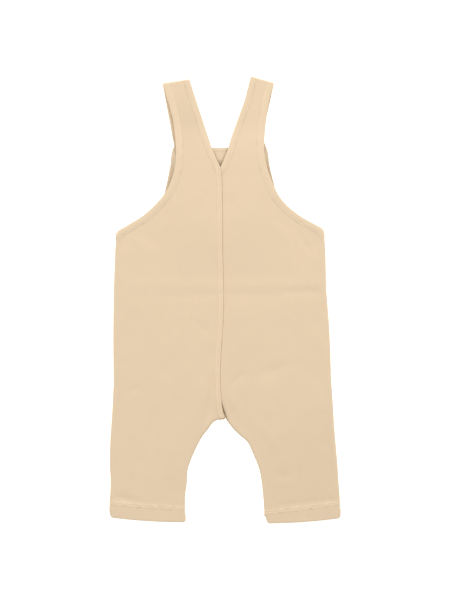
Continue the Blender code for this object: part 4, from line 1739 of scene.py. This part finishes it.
@dataclass
class FrontLeg:
    """Half of the front below the waist seam, which lies on the table."""

    side: Side
    sections: tuple
    finishes: Finishes

    def __post_init__(self) -> None:
        """Lay out the leg up to just under the waist seam."""
        word = self.side.name.lower()
        self.name = f"cloth_front_leg_{word}"
        self.node = f"front_leg_{word}"
        names = [section.name for section in self.sections]
        leg = list(self.sections[:names.index("waist") + 1])
        y = WAIST_Y - SEAM_GAP / 2
        leg[-1] = Section("waist", Zone.RISE, (leg[-1].outer[0], y), (SEAM, y))
        self.run = Run(tuple(leg), self.side, Face.DOWN, leg_front_height, fine=(False, True))
        rise = self.run.inner.part(self.run.rows.first["crotch"])
        self.run.seamed = 0 if self.side is Side.LEFT else len(self.run.rows.outer)
        lines = FELL_STITCHES if self.side is Side.LEFT else ()
        raised = INNER_FELL_RAISE if lines else 0.0
        self.run.sewings = [hem_sewing(self.run),
                            Sewing(rise, lines, FELL_BAND, raised, pucker=0.0)]

    def build(self) -> Cloth:
        """Make the cloth of the leg, with its hem turned in.

        Returns:
            The cloth.
        """
        lay = self.run.lay()
        soften_corners(lay, self.run, 0, False, *HEM_CORNER)
        hem = lay.turned(0, self.run.rows.first["hem top"], HEM_TURN_GAP)
        self.cloth = Cloth(self.name, Lay.joined([hem, lay]), self.finishes.twill)
        return self.cloth

    def sew(self) -> bpy.types.Object:
        """Sew the leg's felled seam, hem and outseam.

        Returns:
            The stitches.
        """
        stitches = Stitching(f"stitches_{self.node}", self.cloth, self.finishes.thread)
        for sewing in self.run.sewings[1:]:
            for line in sewing.lines:
                stitches.line(sewing.edge.offset(line)[6:], Face.DOWN)
        stitches.line(hem_line(self.run), Face.DOWN)
        stitches.line(self.run.outer.offset(OUTSEAM_STITCH)[12:-6], Face.DOWN)
        return stitches.finish()


@dataclass
class Bib:
    """The front above the waist seam, which shows its inside in the neck and armholes."""

    finishes: Finishes
    name: str = "cloth_bib"
    node: str = "front_bib"

    def __post_init__(self) -> None:
        """Lay out the bib."""
        first = BIB_SECTIONS[0]
        y = WAIST_Y + SEAM_GAP / 2
        start = Section(first.name, first.zone, (first.outer[0], y), (first.inner[0], y))
        self.run = Run((start,) + BIB_SECTIONS[1:], None, Face.DOWN, bib_height, BIB_COLUMNS,
                       fine=(True, True))
        under = self.run.rows.first["underarm"]
        self.waist = straight_edge(self.run, 0, LINE_POINTS, -1)
        self.sides = (self.run.outer.part(under), self.run.inner.part(under))
        self.run.sewings = [
            Sewing(side, (EDGE_STITCH,), EDGE_BAND, EDGE_RAISE, pucker=0.04)
            for side in self.sides]
        self.run.sewings += [
            Sewing(straight_edge(self.run, -1, LINE_POINTS, 1), (3.9,), 6.2, 0.06, pucker=0.03,
                   groove=0.0, thread=BIB_THREAD, crease=0.0, shadow=0.4, faded=0.0),
            Sewing(self.waist, WAIST_STITCHES, WAIST_BAND, INNER_FELL_RAISE, pucker=0.0)]

    def build(self) -> Cloth:
        """Make the cloth of the bib, with painted shadow on its inside where it lies under the
        back's and the neck's edges.

        Returns:
            The cloth.
        """
        lay = self.run.lay()
        places = lay.grain.reshape(-1, 2)
        reach = np.min([side.near(places).distance for side in self.sides], axis=0)
        neck = Edge(np.array(NECK_LINE), np.zeros(len(NECK_LINE)), 1).near(places).distance
        painted_shadow = (INSIDE_PAINTED_SHADOW * (1 - ease(reach, *INSIDE_PAINTED_SHADOW_RANGE)) + NECK_TIP_PAINTED_SHADOW.darkness(places)
               + NECK_PAINTED_SHADOW * np.exp(-(neck / NECK_PAINTED_SHADOW_REACH) ** 2))
        self.cloth = Cloth(self.name, lay, self.finishes.twill, painted_shadow)
        return self.cloth

    def sew(self) -> bpy.types.Object:
        """Sew the bib's stitches, on both faces where both show.

        Returns:
            The stitches.
        """
        stitches = Stitching("stitches_bib", self.cloth, self.finishes.thread)
        for sewing in self.run.sewings:
            for line in sewing.lines:
                path = self.run.bowed(sewing.edge.offset(line))
                faces = (Face.DOWN,) if sewing.edge is self.waist else (Face.DOWN, Face.UP)
                for face in faces:
                    width = sewing.thread if face is Face.UP else THREAD
                    stitches.line(path[2:-2] if len(path) > 6 else path, face, width)
        return stitches.finish()


@dataclass
class Button:
    """A dished button with four holes, sewn on with thread, its face down."""

    side: Side
    under_run: tuple
    finishes: Finishes
    rim: float = 1.7
    dish: float = 0.55
    hole: float = 0.85
    hole_reach: float = 1.9
    steps: int = 56
    dish_round: float = 1.1
    rim_round: float = 0.7
    back_round: float = 0.8
    strand_width: float = 0.56

    def __post_init__(self) -> None:
        """Find the button's centre, in the middle of the strap over it."""
        word = self.side.name.lower()
        self.node = f"button_{word}"
        self.x = strap_middle(self.under_run, BUTTON_Y)

    def profile(self) -> list:
        """The outline that is turned, from the middle of the face to that of the back.

        Returns:
            Radius and height of its points.
        """
        outer, thick, inside = BUTTON_RADIUS, BUTTON_THICK, BUTTON_RADIUS - self.rim
        dish, slope, face, back = self.dish, self.dish_round, self.rim_round, self.back_round
        points = [(0.0, dish), (inside - slope, dish)]
        points += [(inside - slope + slope * math.sin(a), dish - dish * (1 - math.cos(a)))
                   for a in np.radians((30, 60, 90))]
        points += [(outer - face + face * math.sin(a), face - face * math.cos(a))
                   for a in np.radians((0, 22, 45, 68, 90))]
        points += [(outer - back + back * math.cos(a), thick - back + back * math.sin(a))
                   for a in np.radians((0, 30, 60, 90))]
        return points + [(0.0, thick)]

    def holes(self) -> list:
        """Places of the four holes, round the button's middle."""
        return [(self.hole_reach * math.cos(a), self.hole_reach * math.sin(a))
                for a in np.radians((45, 135, 225, 315))]

    def build(self) -> bpy.types.Object:
        """Turn the button and drill its holes.

        Returns:
            The button.
        """
        bm = bmesh.new()
        points = [bm.verts.new((radius * MM, 0, height * MM))
                  for radius, height in self.profile()]
        edges = [bm.edges.new(pair) for pair in zip(points, points[1:])]
        bmesh.ops.spin(bm, geom=points + edges, axis=(0, 0, 1), cent=(0, 0, 0),
                       angle=2 * math.pi, steps=self.steps, use_merge=True)
        bmesh.ops.remove_doubles(bm, verts=bm.verts[:], dist=SAME_POINT)
        bmesh.ops.recalc_face_normals(bm, faces=bm.faces[:])
        middle = Vector((self.x, BUTTON_Y, 0)) * MM
        bmesh.ops.translate(bm, verts=bm.verts[:], vec=middle)
        piece = make_piece(f"horn_{self.node}", bm, self.finishes.horn, 35.0)
        drill = bmesh.new()
        for x, y in self.holes():
            place = middle + Vector((x, y, BUTTON_THICK / 2)) * MM
            bmesh.ops.create_cone(drill, cap_ends=True, segments=18, radius1=self.hole * MM,
                                  radius2=self.hole * MM, depth=4 * BUTTON_THICK * MM,
                                  matrix=Matrix.Translation(place))
        cutter = make_piece("drill", drill, self.finishes.horn)
        cut = piece.modifiers.new("holes", "BOOLEAN")
        cut.object = cutter
        cut.solver = "EXACT"
        cut_mesh = bpy.data.meshes.new_from_object(
            piece.evaluated_get(bpy.context.evaluated_depsgraph_get()))
        piece.modifiers.clear()
        piece.data = cut_mesh
        bpy.data.objects.remove(cutter)
        return piece

    def sew(self) -> bpy.types.Object:
        """Sew the button on, with two pairs of crossed strands through its holes.

        Returns:
            The strands.
        """
        bm = bmesh.new()
        middle = Vector((self.x, BUTTON_Y, 0)) * MM
        holes = self.holes()
        for low, high, up in ((0, 2, 0.0), (1, 3, -0.25)):
            for aside in (-0.32, 0.32):
                start, end = np.array(holes[low]), np.array(holes[high])
                way = unit(end - start)
                shift = np.array((-way[1], way[0])) * aside
                self.strand(bm, middle, start + shift, end + shift, self.dish - 0.2 + up)
        return make_piece(f"thread_{self.node}", bm, self.finishes.thread, 180.0)

    def strand(self, bm: bmesh.types.BMesh, middle: Vector, start: np.ndarray,
               end: np.ndarray, height: float) -> None:
        """One strand that arches from hole to hole under the button's face.

        Args:
            bm: the bmesh to add to.
            middle: the button's centre, in metres.
            start: the first hole's place.
            end: the second hole's place.
            height: height of the arch's middle.
        """
        path = []
        for share in np.linspace(0, 1, 11):       # the arch bends down into both holes
            place = mix(start, end, share)
            bend = ease(abs(share - 0.5), 0.3, 0.5)
            path.append(middle + Vector((place[0], place[1], height + 1.6 * bend)) * MM)
        rings = []
        for index, point in enumerate(path):
            way = (path[min(index + 1, len(path) - 1)] - path[max(index - 1, 0)]).normalized()
            turn = way.to_track_quat("Z", "Y").to_matrix().to_4x4()
            ring = bmesh.ops.create_circle(bm, cap_ends=False, segments=8,
                                           radius=self.strand_width / 2 * MM,
                                           matrix=Matrix.Translation(point) @ turn)
            rings.append({e for v in ring["verts"] for e in v.link_edges})
        for first, second in zip(rings, rings[1:]):
            bmesh.ops.bridge_loops(bm, edges=list(first | second))
        for ring in (rings[0], rings[-1]):
            bmesh.ops.contextual_create(bm, geom=list(ring))
        bmesh.ops.recalc_face_normals(bm, faces=bm.faces[:])


@dataclass(frozen=True)
class Studio:
    """A white table, soft light from both sides of the top, and the camera straight above."""

    across: float = 0.6742    # length that the picture's long side spans, in metres
    lens: float = 100.0
    sensor: float = 36.0
    aim: tuple = (-0.00011, -0.00045, 0.004)
    table_size: float = 6.0
    table_drop: float = 0.0005
    glow: float = 0.6         # the table's own light, which keeps its shadows faint
    lamps: tuple = (("softbox_left", (-1.7, 2.7, 2.6)), ("softbox_right", (1.7, 2.7, 2.6)))
    lamp_size: float = 1.8
    lamp_power: float = 79.0
    surroundings: float = 0.57

    def build(self) -> None:
        """Make the table, the lights and the camera."""
        self.table()
        for name, place in self.lamps:
            self.light(name, place)
        scene = bpy.context.scene
        scene.world = bpy.data.worlds.new("studio")
        scene.world.use_nodes = True
        background = scene.world.node_tree.nodes["Background"]
        background.inputs["Color"].default_value = (1, 1, 1, 1)
        background.inputs["Strength"].default_value = self.surroundings
        scene.view_settings.view_transform = "Standard"
        camera = bpy.data.cameras.new("above")
        camera.lens = self.lens
        camera.sensor_width = self.sensor
        camera.clip_start, camera.clip_end = 0.05, 20.0
        stand = bpy.data.objects.new("above", camera)
        stand.location = (self.aim[0], self.aim[1],
                          self.aim[2] + self.across * self.lens / camera.sensor_width)
        scene.collection.objects.link(stand)
        scene.camera = stand

    def table(self) -> None:
        """Make the white table that the garment lies on."""
        bm = bmesh.new()
        bmesh.ops.create_grid(bm, x_segments=2, y_segments=2, size=self.table_size,
                              matrix=Matrix.Translation((0, 0, -self.table_drop)))
        graph = Graph("table_white")
        place = graph.add("ShaderNodeTexCoord").outputs["Object"]
        tone = graph.blend((0.9, 0.9, 0.9, 1), (0.94, 0.94, 0.94, 1), graph.noise(place, 3.0))
        table = make_piece("table", bm, graph.surface({
            "Base Color": tone, "Roughness": 0.95, "Specular IOR Level": 0.1,
            "Emission Color": (1, 1, 1, 1), "Emission Strength": self.glow}))

    def light(self, name: str, place: tuple) -> None:
        """Make a square soft light that looks at the garment.

        Args:
            name: its name.
            place: where it stands, in metres.
        """
        data = bpy.data.lights.new(name, "AREA")
        data.size = self.lamp_size
        data.energy = self.lamp_power
        lamp = bpy.data.objects.new(name, data)
        lamp.location = place
        lamp.rotation_euler = Vector(place).to_track_quat("Z", "Y").to_euler()
        bpy.context.scene.collection.objects.link(lamp)


@dataclass(frozen=True)
class Cut:
    """A piece as it is cut, with allowances: sides in m, area in m2, and what it lies on."""

    flat: tuple
    area: float
    rests_on: tuple = ()


def dress(piece: bpy.types.Object, node: str | None = None) -> None:
    """Let a piece ride on the garment, and stand for a CAD node if it replaces one.

    Args:
        piece: the piece.
        node: the node that it replaces.
    """
    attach(piece, "root")
    if node:
        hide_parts(node)
    log.info("%s: %d faces", piece.name, len(piece.data.polygons))


def main() -> None:
    """Build the garment piece by piece and set up the studio."""
    logging.basicConfig(level=logging.INFO, format="%(message)s")
    finishes = Finishes(Twill("cotton_twill", CLOTH_COLOR).material(),
                        Thread("cotton_thread", THREAD_COLOR).material(),
                        Horn("button_horn", HORN_COLOR).material())
    makers = [BackPanel(Side.LEFT, LEFT_SECTIONS, LEFT_UNDER_RUN, finishes, True),
              BackPanel(Side.RIGHT, RIGHT_SECTIONS, RIGHT_UNDER_RUN, finishes, False),
              Bib(finishes), FrontLeg(Side.LEFT, LEFT_SECTIONS, finishes),
              FrontLeg(Side.RIGHT, RIGHT_SECTIONS, finishes)]
    for maker in makers:
        cloth = maker.build()
        dress(cloth.piece, maker.node)
        stitches = maker.sew()
        dress(stitches)
    for side, run in ((Side.LEFT, LEFT_UNDER_RUN), (Side.RIGHT, RIGHT_UNDER_RUN)):
        button = Button(side, run, finishes)
        dress(button.build(), button.node)
        dress(button.sew())
    Studio().build()


if __name__ == "__main__":
    main()
